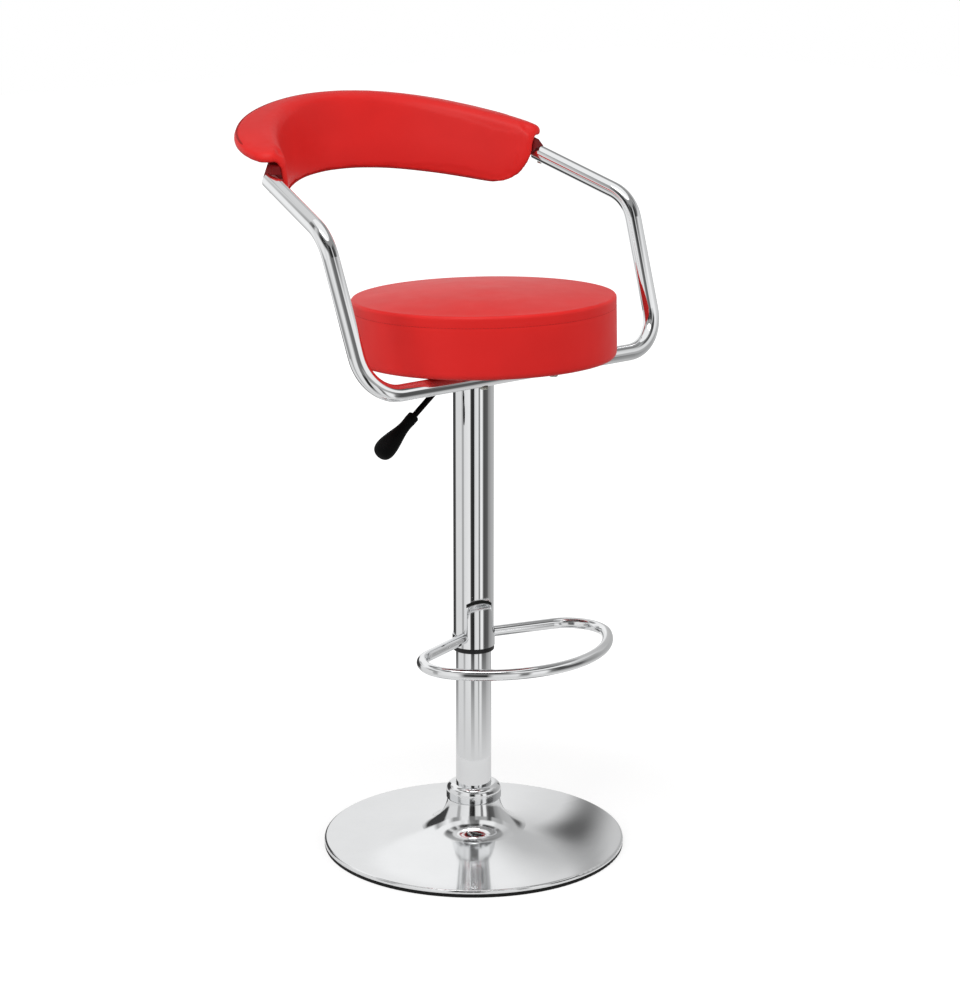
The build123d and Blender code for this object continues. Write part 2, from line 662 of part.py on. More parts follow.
def lever_handle():
    """Grip: a round collar, a neck and a bulb with a domed end."""
    bore = LEVER_R + SEAT_FIT
    collar_end = (GRIP_COLLAR_R, GRIP_COLLAR_L)
    neck = (GRIP_NECK_R, GRIP_COLLAR_L * 1.8)
    bulb = (GRIP_BULB_R, GRIP_L * 0.64)
    face = Polyline((bore, GRIP_BORE), (bore, 0), (GRIP_COLLAR_R - 1, 0), (GRIP_COLLAR_R, 1), collar_end)
    side = Spline(collar_end, neck, bulb, (0, GRIP_L), tangents=[(-0.1, 1), (-1, 0)])
    inside = Polyline((0, GRIP_L), (0, GRIP_BORE), (bore, GRIP_BORE))
    return Plane(lever_line(GRIP_X), z_dir=LEVER_DIR) * lathe(face, side, inside)


# ---- Seat ----

def cross_places():
    return [Pos(x, ARM_SHOE_Y - SEAT_Y, 0) for x in (-CROSS_BOLT_X, CROSS_BOLT_X)]


def board_places():
    return [Pos(0, -SEAT_Y, 0) * p for p in mech_places()] + cross_places()


def seat_board():
    board = Cylinder(BOARD_R, BOARD_T, align=UP)
    sink = Pos(0, 0, BOARD_T - TEE_FLANGE_T - SKIN_GAP)
    for place in board_places():
        board -= place * Cylinder(BOLT_R + TEE_WALL + SEAT_FIT, 3 * BOARD_T)
        board -= place * sink * Cylinder(TEE_FLANGE_R + SEAT_FIT, BOARD_T, align=UP)
    return SEAT_FRAME * board


def tee_nuts():
    """Threaded inserts let into the board's upper face."""
    top = BOARD_T - TEE_FLANGE_T - SKIN_GAP
    barrel = Pos(0, 0, 2) * Cylinder(BOLT_R + TEE_WALL, top - 2, align=UP)
    flange = Pos(0, 0, top) * Cylinder(TEE_FLANGE_R, TEE_FLANGE_T, align=UP)
    nut = barrel + flange - Cylinder(BOLT_R + PRESS_FIT, 3 * BOARD_T)
    return Compound([SEAT_FRAME * place * nut for place in board_places()])


def seat_cushion():
    """Foam disc with a crowned top; its cover turns in round the board."""
    foot = SEAT_R - SEAT_FOOT_ROLL
    roll = SEAT_R - SEAT_TOP_ROLL
    pocket = BOARD_R + SKIN_GAP
    top = SEAT_SIDE + SEAT_CROWN
    lift = BOARD_T + SKIN_GAP
    edges = [
        Line((pocket, 0), (foot, 0)),
        TangentArc((foot, 0), (SEAT_R, SEAT_FOOT_ROLL), tangent=(1, 0)),
        Line((SEAT_R, SEAT_FOOT_ROLL), (SEAT_R, SEAT_SIDE - SEAT_TOP_ROLL)),
        TangentArc((SEAT_R, SEAT_SIDE - SEAT_TOP_ROLL), (roll, SEAT_SIDE), tangent=(0, 1)),
        TangentArc((0, top), (roll, SEAT_SIDE), tangent=(1, 0)),
        Line((0, top), (0, lift)),
        Line((0, lift), (pocket, lift)),
        Line((pocket, lift), (pocket, 0)),
    ]
    return SEAT_FRAME * lathe(*edges)


# ---- Arms ----

def arm_foot_z():
    """Height of the crossbar, which lies against the seat's underside."""
    slope = sin(radians(SEAT_TILT))
    return SEAT_Z - (ARM_SHOE_Y - SEAT_Y) * slope - ARM_R - SKIN_GAP


def elbow(side):
    return Vector(side * ELBOW_X, ELBOW_Y, SEAT_Z + ELBOW_UP)


def arm_mouth(side):
    """Plane where the tube ends under the back rest, square to the tube."""
    place = Vector(side * END_X, END_Y, SEAT_Z + END_UP)
    way = (place - elbow(side)).normalized()
    return Plane(place, x_dir=Vector(0, 0, 1).cross(way), z_dir=way)


def arm_frame():
    half = []
    for side in (-1, 1):
        foot = Vector(side * ARM_FOOT_X, ARM_SHOE_Y, arm_foot_z())
        half.append([arm_mouth(side).origin, elbow(side), foot])
    corners = half[0] + half[1][::-1]
    frame = tube_along(FilletPolyline(*corners, radius=ARM_BEND), ARM_R, ARM_WALL)
    for place in cross_places():
        frame -= SEAT_FRAME * place * Cylinder(BOLT_R + BOLT_FIT, 10 * ARM_R)
    for side in (-1, 1):
        frame -= lug_screw(side, RUN_FIT)
    return frame


def crossbar_bolts():
    """Pan-head bolts up through the crossbar into the board."""
    drop = 2 * ARM_R + 2 * SKIN_GAP
    head = Pos(0, 0, -drop - CROSS_HEAD_H) * Cylinder(BOLT_HEAD_R, CROSS_HEAD_H, align=UP)
    head = fillet(head.edges().group_by(Axis.Z)[0], CROSS_HEAD_H / 2)
    bolt = head + Pos(0, 0, -drop - 1) * Cylinder(BOLT_R, drop + BOARD_T - 1, align=UP)
    return Compound([SEAT_FRAME * place * bolt for place in cross_places()])


# ---- Back rest ----

def reach_of(turn, half_w, half_d, mid_y):
    """Distance from the sections' pole to a plan ellipse, at an angle from straight back."""
    sx = sin(turn) / half_w
    cy = cos(turn) / half_d
    off = (POLE_Y - mid_y) / half_d
    a = sx * sx + cy * cy
    b = off * cy
    return (-b + sqrt(b * b - a * (off * off - 1))) / a


def height_at(y, up, rise, curve=0.0):
    """Height of one of the rest's lines where it crosses a plan line Y."""
    behind = y - LEVEL_Y
    return SEAT_Z + up + rise * behind + curve * behind ** 2


def back_section(turn):
    """Section of the rest: a wall that leans out a little and a ledge from its crest."""
    r_in = reach_of(turn, WALL_A, WALL_B, WALL_Y)
    r_out = reach_of(turn, LEDGE_A, LEDGE_B, LEDGE_Y)
    r_crest = r_in + WALL_LEAN
    foot = height_at(POLE_Y + r_in * cos(turn), FOOT_UP, FOOT_RISE, FOOT_CURVE)
    crest = height_at(POLE_Y + r_crest * cos(turn), CREST_UP, CREST_RISE)
    brim = height_at(POLE_Y + r_out * cos(turn), BRIM_UP, BRIM_RISE, BRIM_CURVE)
    slope = (brim - crest) / (r_out - r_crest)
    points = [
        (r_in, foot),
        (r_in + WALL_T, foot),
        (r_crest + WALL_T, crest - LEDGE_T + slope * WALL_T),
        (r_out, brim - LEDGE_T),
        (r_out, brim),
        (r_crest, crest),
    ]
    tip = LEDGE_T * 0.45
    radii = [BACK_EDGE, BACK_EDGE, BACK_EDGE / 4, tip, tip, BACK_ROLL]
    outline = FilletPolyline(*points, radius=radii, close=True)
    plane = Plane((0, POLE_Y, 0), x_dir=(sin(turn), cos(turn), 0), z_dir=(cos(turn), -sin(turn), 0))
    return plane * make_face(outline)


def back_form():
    """Whole sweep of the rest, before its front ends are shaped."""
    step = pi / (STATIONS - 1)
    return loft([back_section(i * step - pi / 2) for i in range(STATIONS)])


def back_plan():
    """Plan of the rest in one block, with its two front corners rounded."""
    oval = Pos(0, LEDGE_Y) * Ellipse(LEDGE_A + SKIN_GAP, LEDGE_B + SKIN_GAP)
    oval -= Pos(0, BACK_Y - LEDGE_B) * Rectangle(4 * LEDGE_A, 2 * LEDGE_B)
    oval = fillet(oval.vertices(), LEDGE_TIP)
    return Pos(0, 0, SEAT_Z + FOOT_UP / 2) * extrude(oval, amount=2 * CREST_UP)


def foot_corners():
    """What is cut away to round the wall's lower front corners."""
    lean = atan(FOOT_RISE)
    mid_y = BACK_Y + FOOT_CORNER
    mid_z = height_at(mid_y, FOOT_UP, FOOT_RISE, FOOT_CURVE) + FOOT_CORNER / cos(lean)
    front = (BACK_Y, mid_z)
    foot = (mid_y + FOOT_CORNER * sin(lean), mid_z - FOOT_CORNER * cos(lean))
    arc = TangentArc(front, foot, tangent=(0, -1))
    low = foot[1] - FOOT_CORNER
    ahead = BACK_Y - FOOT_CORNER
    rest = Polyline(foot, (foot[0], low), (ahead, low), (ahead, mid_z), front)
    return extrude(Plane.YZ * make_face(Curve() + [arc, rest]), amount=2 * WALL_A, both=True)


def backrest():
    return (back_form() & back_plan()) - foot_corners()


def lug_screw(side, gap=0.0):
    """Screw up through the tube's end into the lug's spigot."""
    head = Pos(0, 0, -LUG_HEAD_H) * Cylinder(LUG_HEAD_R, LUG_HEAD_H, align=UP)
    screw = head + Cylinder(LUG_SCREW_R + gap, ARM_R, align=UP)
    return arm_mouth(side) * Pos(0, -ARM_R, -SPIGOT_L / 2) * Rot(-90, 0, 0) * screw


def socket_screws():
    return Compound([lug_screw(side) for side in (-1, 1)])


def back_sockets():
    """Lug under each end of the ledge, with a spigot that the tube slips over."""
    form = back_form()
    lugs = []
    for side in (-1, 1):
        mouth = arm_mouth(side)
        web = Polyline(
            (-side * ARM_R, 0),
            (side * LUG_LEAN, LUG_UP),
            (side * LUG_IN, LUG_UP),
            (side * LUG_IN, -LUG_LOW),
            (0, -ARM_R),
            close=True,
        )
        top = [(LUG_UP, LUG_BACK), (LUG_UP, 0), (ARM_R, -LUG_FORE)]
        slope = Polyline((0, 0), *top, (-LUG_LOW, 0), close=True)
        wedge = extrude(Plane.YZ * make_face(slope), amount=LUG_IN, both=True)
        block = Pos(0, 0, -LUG_FORE) * extrude(make_face(web), amount=LUG_FORE + LUG_BACK)
        seat = Pos(0, 0, -LUG_FORE) * Cylinder(ARM_R + SEAT_FIT, LUG_FORE, align=UP)
        lug = mouth * ((block & wedge) - seat) - form
        lug = lug.solids().sort_by(SortBy.VOLUME)[-1]
        lug += extrude(mouth * Circle(ARM_R - ARM_WALL - SEAT_FIT), amount=-SPIGOT_L)
        lugs.append(lug - lug_screw(side, PRESS_FIT))
    return Compound(lugs)


if __name__ == "__main__":
    NODES = [
        base_pan, base_gasket, ballast_plate, base_hub, hub_screws, neck_ring,
        lower_tube, tube_end_plate, bearing_lower_race, cylinder_guide_bush,
        bearing_balls, bearing_cage, bearing_upper_race, rubber_buffer,
        piston_rod, rod_clip, clip_washer, gas_piston,
        gas_cylinder, cylinder_end_plug, valve_body, valve_pin,
        upper_tube, cover_flange, collar_bush, collar, collar_trim, collar_screws, footrest_loop,
        mechanism_plate, mechanism_box, taper_socket, mechanism_bolts,
        lever_bracket, lever_pivot_pin, lever_rod, lever_handle,
        seat_board, tee_nuts, seat_cushion, arm_frame, crossbar_bolts,
        backrest, back_sockets, socket_screws,
    ]
    os.makedirs("parts", exist_ok=True)
    for make in NODES:
        export_step(make(), f"parts/{make.__name__}.step")
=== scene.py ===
import json
import math

import bmesh
import bpy
import numpy as np
from mathutils import Matrix, Vector
from mathutils.bvhtree import BVHTree

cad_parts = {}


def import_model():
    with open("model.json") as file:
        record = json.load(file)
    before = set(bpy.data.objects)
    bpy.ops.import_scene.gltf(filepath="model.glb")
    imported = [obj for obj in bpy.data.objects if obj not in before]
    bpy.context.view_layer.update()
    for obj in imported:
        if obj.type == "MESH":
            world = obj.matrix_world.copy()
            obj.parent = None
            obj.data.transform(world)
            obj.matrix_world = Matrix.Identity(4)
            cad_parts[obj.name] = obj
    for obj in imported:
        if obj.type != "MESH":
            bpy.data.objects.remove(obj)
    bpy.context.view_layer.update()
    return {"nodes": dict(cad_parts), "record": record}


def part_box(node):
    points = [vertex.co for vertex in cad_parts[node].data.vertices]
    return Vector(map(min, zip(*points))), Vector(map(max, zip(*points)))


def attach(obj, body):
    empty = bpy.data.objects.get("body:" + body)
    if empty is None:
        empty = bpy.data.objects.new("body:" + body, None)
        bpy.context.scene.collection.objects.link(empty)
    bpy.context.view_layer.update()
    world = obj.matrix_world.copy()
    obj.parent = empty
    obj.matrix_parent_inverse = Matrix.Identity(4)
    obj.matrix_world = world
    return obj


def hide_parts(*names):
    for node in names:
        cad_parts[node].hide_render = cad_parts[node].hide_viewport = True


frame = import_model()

# Adjustable swivel stool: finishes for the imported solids, modelled covers for the seat and the back
# rest, and the studio. Names that end in _MM or _mm hold millimetres, and so do the outlines of the
# seat; other lengths are metres.

MM = 0.001
NODES = frame["nodes"]


# ---- Materials ----

def linear(hex_code):
    """An sRGB hex colour as the linear colour that a shader takes."""
    values = [int(hex_code[i:i + 2], 16) / 255 for i in (1, 3, 5)]
    return [v / 12.92 if v <= 0.04045 else ((v + 0.055) / 1.055) ** 2.4 for v in values] + [1.0]


def per_mm(size):
    """Scale of a pattern in metre coordinates whose features are this many millimetres."""
    return 1000.0 / size


def add(tree, kind, inputs=None, stops=None, **settings):
    """Adds a node with its settings, ramp stops, and input values or links."""
    made = tree.nodes.new("ShaderNode" + kind)
    for name, value in settings.items():
        setattr(made, name, value)
    if stops:
        elements = made.color_ramp.elements
        while len(elements) < len(stops):
            elements.new(0.5)
        for element, (place, colour) in zip(elements, stops):
            element.position = place
        for element, (place, colour) in zip(elements, stops):
            element.color = linear(colour) if isinstance(colour, str) else [colour] * 3 + [1.0]
    for name, value in (inputs or {}).items():
        if isinstance(value, bpy.types.NodeSocket):
            tree.links.new(value, made.inputs[name])
        else:
            made.inputs[name].default_value = value
    return made


def start(name):
    """A new material: its tree, its Principled shader and the object's own coordinates."""
    material = bpy.data.materials.new(name)
    material.use_nodes = True
    tree = material.node_tree
    place = add(tree, "TexCoord").outputs["Object"]
    return material, tree, tree.nodes["Principled BSDF"], place


def chromium_plate(name, wave_mm, wave_depth_mm, rough):
    """Nickel-chromium plate on buffed steel: a cool, faintly wavy mirror with a trace of haze."""
    material, tree, shader, place = start(name)
    shader.inputs["Metallic"].default_value = 1.0
    haze = add(tree, "TexNoise", {"Vector": place, "Scale": per_mm(40), "Detail": 4.0})
    dull = add(tree, "MapRange", {"Value": haze.outputs["Fac"],
                                  "To Min": rough * 0.8, "To Max": rough * 1.2})
    tree.links.new(dull.outputs["Result"], shader.inputs["Roughness"])
    tint = add(tree, "ValToRGB", {"Fac": haze.outputs["Fac"]}, [(0.3, "#EAEBEC"), (0.7, "#EDEEEF")])
    tree.links.new(tint.outputs["Color"], shader.inputs["Base Color"])
    wave = add(tree, "TexNoise", {"Vector": place, "Scale": per_mm(wave_mm), "Detail": 1.5})
    waver = add(tree, "Bump", {"Height": wave.outputs["Fac"], "Distance": wave_depth_mm * MM})
    tree.links.new(waver.outputs["Normal"], shader.inputs["Normal"])
    return material


def coated_cover(name, light, body, rough, gloss, grain_mm, grain_depth_mm):
    """Calendered vinyl on a knitted backing: an even colour, a fine pebble grain, a satin gloss."""
    material, tree, shader, place = start(name)
    cloud = add(tree, "TexNoise", {"Vector": place, "Scale": per_mm(70), "Detail": 2.0})
    colour = add(tree, "ValToRGB", {"Fac": cloud.outputs["Fac"]}, [(0.3, body), (0.7, light)])
    tree.links.new(colour.outputs["Color"], shader.inputs["Base Color"])
    pebble = add(tree, "TexVoronoi", {"Vector": place, "Scale": per_mm(grain_mm)})
    grain = add(tree, "Bump", {"Height": pebble.outputs["Distance"],
                               "Distance": grain_depth_mm * MM, "Strength": 0.5})
    drape = add(tree, "TexNoise", {"Vector": place, "Scale": per_mm(45), "Detail": 1.0})
    lie = add(tree, "Bump", {"Height": drape.outputs["Fac"], "Distance": 0.1 * MM,
                             "Normal": grain.outputs["Normal"]})
    tree.links.new(lie.outputs["Normal"], shader.inputs["Normal"])
    worn = add(tree, "TexNoise", {"Vector": place, "Scale": per_mm(22), "Detail": 3.0})
    dull = add(tree, "MapRange", {"Value": worn.outputs["Fac"],
                                  "To Min": rough - 0.04, "To Max": rough + 0.05})
    tree.links.new(dull.outputs["Result"], shader.inputs["Roughness"])
    shader.inputs["Specular IOR Level"].default_value = gloss
    return material


def moulded(name, dark, light, rough, gloss, grain_mm, grain_depth_mm):
    """Injection moulded plastic or rubber with the fine spark grain of its mould."""
    material, tree, shader, place = start(name)
    patch = add(tree, "TexNoise", {"Vector": place, "Scale": per_mm(9), "Detail": 3.0})
    colour = add(tree, "ValToRGB", {"Fac": patch.outputs["Fac"]}, [(0.3, dark), (0.7, light)])
    tree.links.new(colour.outputs["Color"], shader.inputs["Base Color"])
    dull = add(tree, "MapRange", {"Value": patch.outputs["Fac"],
                                  "To Min": rough - 0.05, "To Max": rough + 0.07})
    tree.links.new(dull.outputs["Result"], shader.inputs["Roughness"])
    spark = add(tree, "TexNoise", {"Vector": place, "Scale": per_mm(grain_mm), "Detail": 2.0})
    grain = add(tree, "Bump", {"Height": spark.outputs["Fac"], "Distance": grain_depth_mm * MM})
    tree.links.new(grain.outputs["Normal"], shader.inputs["Normal"])
    shader.inputs["Specular IOR Level"].default_value = gloss
    return material


def plated_steel(name, dark, light, rough, grain_mm, stretch):
    """Plated or ground steel: a dull metal with fine marks, which stretch squeezes or draws out."""
    material, tree, shader, place = start(name)
    shader.inputs["Metallic"].default_value = 1.0
    drawn = add(tree, "Mapping", {"Vector": place, "Scale": stretch})
    lines = add(tree, "TexNoise", {"Vector": drawn.outputs["Vector"],
                                   "Scale": per_mm(grain_mm), "Detail": 3.0})
    spangle = add(tree, "TexNoise", {"Vector": place, "Scale": per_mm(5), "Detail": 2.0})
    colour = add(tree, "ValToRGB", {"Fac": spangle.outputs["Fac"]}, [(0.3, dark), (0.7, light)])
    tree.links.new(colour.outputs["Color"], shader.inputs["Base Color"])
    dull = add(tree, "MapRange", {"Value": lines.outputs["Fac"],
                                  "To Min": rough - 0.08, "To Max": rough + 0.1})
    tree.links.new(dull.outputs["Result"], shader.inputs["Roughness"])
    score = add(tree, "Bump", {"Height": lines.outputs["Fac"], "Distance": 0.02 * MM})
    tree.links.new(score.outputs["Normal"], shader.inputs["Normal"])
    return material


def powder_coat():
    """Black epoxy powder coat on steel: an orange peel under a half gloss."""
    material, tree, shader, place = start("black_powder_coat")
    peel = add(tree, "TexNoise", {"Vector": place, "Scale": per_mm(1.4), "Detail": 2.0})
    cloud = add(tree, "TexNoise", {"Vector": place, "Scale": per_mm(30), "Detail": 3.0})
    colour = add(tree, "ValToRGB", {"Fac": cloud.outputs["Fac"]}, [(0.3, "#161618"), (0.7, "#232326")])
    tree.links.new(colour.outputs["Color"], shader.inputs["Base Color"])
    dull = add(tree, "MapRange", {"Value": peel.outputs["Fac"], "To Min": 0.38, "To Max": 0.5})
    tree.links.new(dull.outputs["Result"], shader.inputs["Roughness"])
    skin = add(tree, "Bump", {"Height": peel.outputs["Fac"], "Distance": 0.06 * MM})
    tree.links.new(skin.outputs["Normal"], shader.inputs["Normal"])
    return material


def birch_plywood():
    """Sanded birch plywood: a pale face grain along X, and its plies as stripes on the edge."""
    material, tree, shader, place = start("birch_plywood")
    along = add(tree, "Mapping", {"Vector": place, "Scale": (0.12, 1.0, 1.0)})
    figure = add(tree, "TexNoise", {"Vector": along.outputs["Vector"], "Scale": per_mm(7),
                                    "Detail": 5.0, "Roughness": 0.6})
    face = add(tree, "ValToRGB", {"Fac": figure.outputs["Fac"]},
               [(0.3, "#B98F5E"), (0.55, "#D2AD7A"), (0.8, "#E0C194")])
    plies = add(tree, "TexWave", {"Vector": place, "Scale": per_mm(3) / (2 * math.pi),
                                  "Distortion": 0.3}, bands_direction="Z")
    edge = add(tree, "ValToRGB", {"Fac": plies.outputs["Fac"]}, [(0.35, "#8A6238"), (0.6, "#D6B27F")])
    facing = add(tree, "SeparateXYZ", {"Vector": add(tree, "NewGeometry").outputs["Normal"]})
    flat = add(tree, "Math", {0: facing.outputs["Z"]}, operation="ABSOLUTE")
    board = add(tree, "Mix", {0: flat.outputs["Value"], 6: edge.outputs["Color"],
                              7: face.outputs["Color"]}, data_type="RGBA")
    tree.links.new(board.outputs[2], shader.inputs["Base Color"])
    pores = add(tree, "Bump", {"Height": figure.outputs["Fac"], "Distance": 0.08 * MM})
    tree.links.new(pores.outputs["Normal"], shader.inputs["Normal"])
    shader.inputs["Roughness"].default_value = 0.62
    return material


CHROME = chromium_plate("bright_chromium_plate", wave_mm=45, wave_depth_mm=0.02, rough=0.045)
CAST_CHROME = chromium_plate("chromium_plate_on_casting", wave_mm=8, wave_depth_mm=0.08, rough=0.07)
PRESSED_CHROME = chromium_plate("chromium_plate_on_pressing",
                                wave_mm=90, wave_depth_mm=0.03, rough=0.08)
SEAT_VINYL = coated_cover("seat_vinyl", light="#E0221F", body="#DA201D",
                          rough=0.46, gloss=0.26, grain_mm=0.9, grain_depth_mm=0.04)
BACK_VINYL = coated_cover("back_vinyl", light="#DC211E", body="#D51E1B",
                          rough=0.48, gloss=0.28, grain_mm=1.1, grain_depth_mm=0.035)
WELT_VINYL = coated_cover("welt_vinyl", light="#A61614", body="#96110F",
                          rough=0.5, gloss=0.2, grain_mm=0.9, grain_depth_mm=0.03)
# red moulding of the lugs under the ledge: its red is darker than the cover's as painted shade,
# standing in for the shadow that the ledge casts on them
SHADED_RED_MOULDING = moulded("red_moulding_painted_shade", dark="#5E0508", light="#6E070B",
                       rough=0.42, gloss=0.25, grain_mm=0.6, grain_depth_mm=0.02)
BLACK_MOULDING = moulded("black_moulding", dark="#0B0B0C", light="#131314",
                         rough=0.42, gloss=0.4, grain_mm=0.7, grain_depth_mm=0.03)
GRIP_MOULDING = moulded("soft_black_grip", dark="#020202", light="#050505",
                        rough=0.6, gloss=0.1, grain_mm=0.8, grain_depth_mm=0.04)
BLACK_RUBBER = moulded("black_rubber", dark="#0A0A0A", light="#121212",
                       rough=0.68, gloss=0.25, grain_mm=1.1, grain_depth_mm=0.05)
ZINC = plated_steel("zinc_plated_steel", dark="#A3A49D", light="#C0C0B6",
                    rough=0.34, grain_mm=0.9, stretch=(1.0, 1.0, 1.0))
GROUND_STEEL = plated_steel("ground_steel", dark="#B9BABC", light="#C9CACC",
                            rough=0.16, grain_mm=0.5, stretch=(1.0, 1.0, 8.0))
BLACK_NICKEL = plated_steel("black_nickel_plate", dark="#120F0F", light="#1E1A1A",
                            rough=0.24, grain_mm=0.8, stretch=(0.2, 1.0, 0.2))
POWDER_COAT = powder_coat()
BIRCH = birch_plywood()
# cambric and thread have no mould: the same fine grain stands for their fibres
CAMBRIC = moulded("black_cambric", dark="#0C0C0D", light="#161617",
                  rough=0.85, gloss=0.15, grain_mm=0.8, grain_depth_mm=0.1)
THREAD = moulded("polyester_thread", dark="#A81614", light="#BC1A18",
                 rough=0.6, gloss=0.3, grain_mm=0.4, grain_depth_mm=0.05)

FINISH_OF_SLOT = {
    "chrome": CHROME,
    "black_rubber": BLACK_RUBBER,
    "black_steel": POWDER_COAT,
    "zinc_steel": ZINC,
    "polished_steel": GROUND_STEEL,
    "dark_steel": BLACK_NICKEL,
    "black_plastic": BLACK_MOULDING,
    "plywood": BIRCH,
    "red_seat_cover": SEAT_VINYL,
    "red_back_cover": BACK_VINYL,
    "red_plastic": SHADED_RED_MOULDING,
}
FINISH_OF_NODE = {
    "neck_ring": CAST_CHROME,
    "base_pan": PRESSED_CHROME,
    "lever_handle": GRIP_MOULDING,
}


def finish_nodes():
    """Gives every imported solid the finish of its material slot."""
    for subpart in frame["record"]["subparts"]:
        name = subpart["node"]
        mesh = NODES[name].data
        mesh.materials.clear()
        mesh.materials.append(FINISH_OF_NODE.get(name, FINISH_OF_SLOT[subpart["material_slot"]]))


finish_nodes()


# ---- Mesh helpers ----

def placed(name, data):
    """New mesh, lamp or camera data as an object in the scene."""
    thing = bpy.data.objects.new(name, data)
    bpy.context.scene.collection.objects.link(thing)
    return thing


def new_piece(name, points, faces, material, body):
    """A smooth mesh piece in the shared frame that rides on a body."""
    mesh = bpy.data.meshes.new(name)
    mesh.from_pydata([tuple(p) for p in points], [], [tuple(f) for f in faces])
    mesh.validate()
    piece = placed(name, mesh)
    mesh.polygons.foreach_set("use_smooth", [True] * len(mesh.polygons))
    mesh.materials.append(material)
    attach(piece, body)
    return piece


def grid_faces(rows, columns, joined=False):
    """Quads between rows of points that each close on themselves; joined rows also meet end to end."""
    faces = []
    for i in range(rows if joined else rows - 1):
        here, there = i * columns, (i + 1) % rows * columns
        for j in range(columns):
            k = (j + 1) % columns
            faces.append((here + j, here + k, there + k, there + j))
    return faces


def caps(rows, columns):
    """One face over the first row and one over the last."""
    last = (rows - 1) * columns
    return [tuple(range(columns))[::-1], tuple(range(last, last + columns))]


def gather(points, faces, more_points, more_faces):
    """Adds a small form's points and faces to lists that hold several."""
    base = len(points)
    points += more_points
    faces += [tuple(v + base for v in f) for f in more_faces]


def circle(count):
    """Angles at even steps round a circle."""
    return np.linspace(0, 2 * math.pi, count, endpoint=False)


def use(piece):
    """Makes a piece the one that an operator works on."""
    bpy.ops.object.select_all(action="DESELECT")
    piece.select_set(True)
    bpy.context.view_layer.objects.active = piece


def apply_modifier(piece, kind, **settings):
    """Adds a modifier with its settings and applies it."""
    modifier = piece.modifiers.new(kind, kind)
    for name, value in settings.items():
        setattr(modifier, name, value)
    use(piece)
    bpy.ops.object.modifier_apply(modifier=modifier.name)


def coordinates(piece):
    """The piece's points, one a row."""
    flat = np.empty(len(piece.data.vertices) * 3)
    piece.data.vertices.foreach_get("co", flat)
    return flat.reshape(-1, 3)


def set_coordinates(piece, points):
    """Moves the piece's points to new places."""
    piece.data.vertices.foreach_set("co", np.asarray(points, float).ravel())
    piece.data.update()


def normals(piece):
    """The surface's outward direction at each point."""
    flat = np.empty(len(piece.data.vertices) * 3)
    piece.data.vertices.foreach_get("normal", flat)
    return flat.reshape(-1, 3)


def surface_of(piece):
    """Search tree of a piece's own mesh."""
    form = bmesh.new()
    form.from_mesh(piece.data)
    tree = BVHTree.FromBMesh(form)
    form.free()
    return tree


STUFFING_PRESSURE = 4.0
CLOTH_QUALITY = 6
CLOTH_MASS = 0.3
CLOTH_STEPS = 20


def stuff(piece, pinned, cap):
    """Swells a closed cover over its foam with Cloth, then holds each point to a cap."""
    before = coordinates(piece)
    group = piece.vertex_groups.new(name="held")
    for index in np.flatnonzero(pinned):
        group.add([int(index)], 1.0, "REPLACE")
    cloth = piece.modifiers.new("Cloth", "CLOTH")
    cloth.settings.quality = CLOTH_QUALITY
    cloth.settings.mass = CLOTH_MASS
    cloth.settings.use_pressure = True
    cloth.settings.uniform_pressure_force = STUFFING_PRESSURE
    cloth.settings.vertex_group_mass = group.name
    cloth.settings.effector_weights.gravity = 0.0
    cloth.collision_settings.use_collision = False
    scene = bpy.context.scene
    scene.frame_start, scene.frame_end = 1, CLOTH_STEPS
    for step in range(1, CLOTH_STEPS + 1):
        scene.frame_set(step)
    after = coordinates(piece.evaluated_get(bpy.context.evaluated_depsgraph_get()))
    piece.modifiers.remove(cloth)
    scene.frame_set(1)
    move = after - before
    length = np.linalg.norm(move, axis=1)
    move *= (np.minimum(length, cap) / np.maximum(length, 1e-9))[:, None]
    set_coordinates(piece, before + move)
    piece.vertex_groups.clear()


def rope(points, radius, sides):
    """Points and faces of a thin tube along a line, with a flat face on each end."""
    points = [Vector(p) for p in points]
    count = len(points)
    rings = []
    side_way = None
    for i, here in enumerate(points):
        ahead = points[i + 1] if i + 1 < count else here
        behind = points[i - 1] if i else here
        way = (ahead - behind).normalized()
        if side_way is None:
            side_way = way.orthogonal().normalized()
        side_way = (side_way - way * side_way.dot(way)).normalized()
        across = way.cross(side_way)
        rings += [here + (side_way * math.cos(t) + across * math.sin(t)) * radius
                  for t in circle(sides)]
    return rings, grid_faces(count, sides) + caps(count, sides)


THREAD_RADIUS_MM = 0.3
THREAD_SIDES = 6
STITCH_MM = 3.6
STITCH_GAP_MM = 0.9
# where along a stitch its rings are, and how full the thread is there
STITCH_SHAPE = [(0.0, 0.35), (0.15, 0.85), (0.5, 1.0), (0.85, 0.85), (1.0, 0.35)]


def sewn(name, line, body):
    """A row of stitches along a line: short raised threads with gaps between them."""
    line = [Vector(p) for p in line]
    lengths = [0.0]
    for a, b in zip(line, line[1:]):
        lengths.append(lengths[-1] + (b - a).length)

    def at(distance):
        k = min(np.searchsorted(lengths, distance, side="right") - 1, len(line) - 2)
        share = (distance - lengths[k]) / max(lengths[k + 1] - lengths[k], 1e-9)
        return line[k].lerp(line[k + 1], min(max(share, 0.0), 1.0))

    stitch = STITCH_MM * MM
    count = int(lengths[-1] / (stitch + STITCH_GAP_MM * MM))
    pitch = lengths[-1] / count
    points, faces = [], []
    for i in range(count):
        run = [at(i * pitch + stitch * t) for t, _ in STITCH_SHAPE]
        rings, quads = rope(run, THREAD_RADIUS_MM * MM, THREAD_SIDES)
        for k, (here, (_, fullness)) in enumerate(zip(run, STITCH_SHAPE)):
            for j in range(k * THREAD_SIDES, (k + 1) * THREAD_SIDES):
                rings[j] = here + (rings[j] - here) * fullness
        gather(points, faces, rings, quads)
    new_piece(name, points, faces, THREAD, body)


# ---- Seat cushion ----

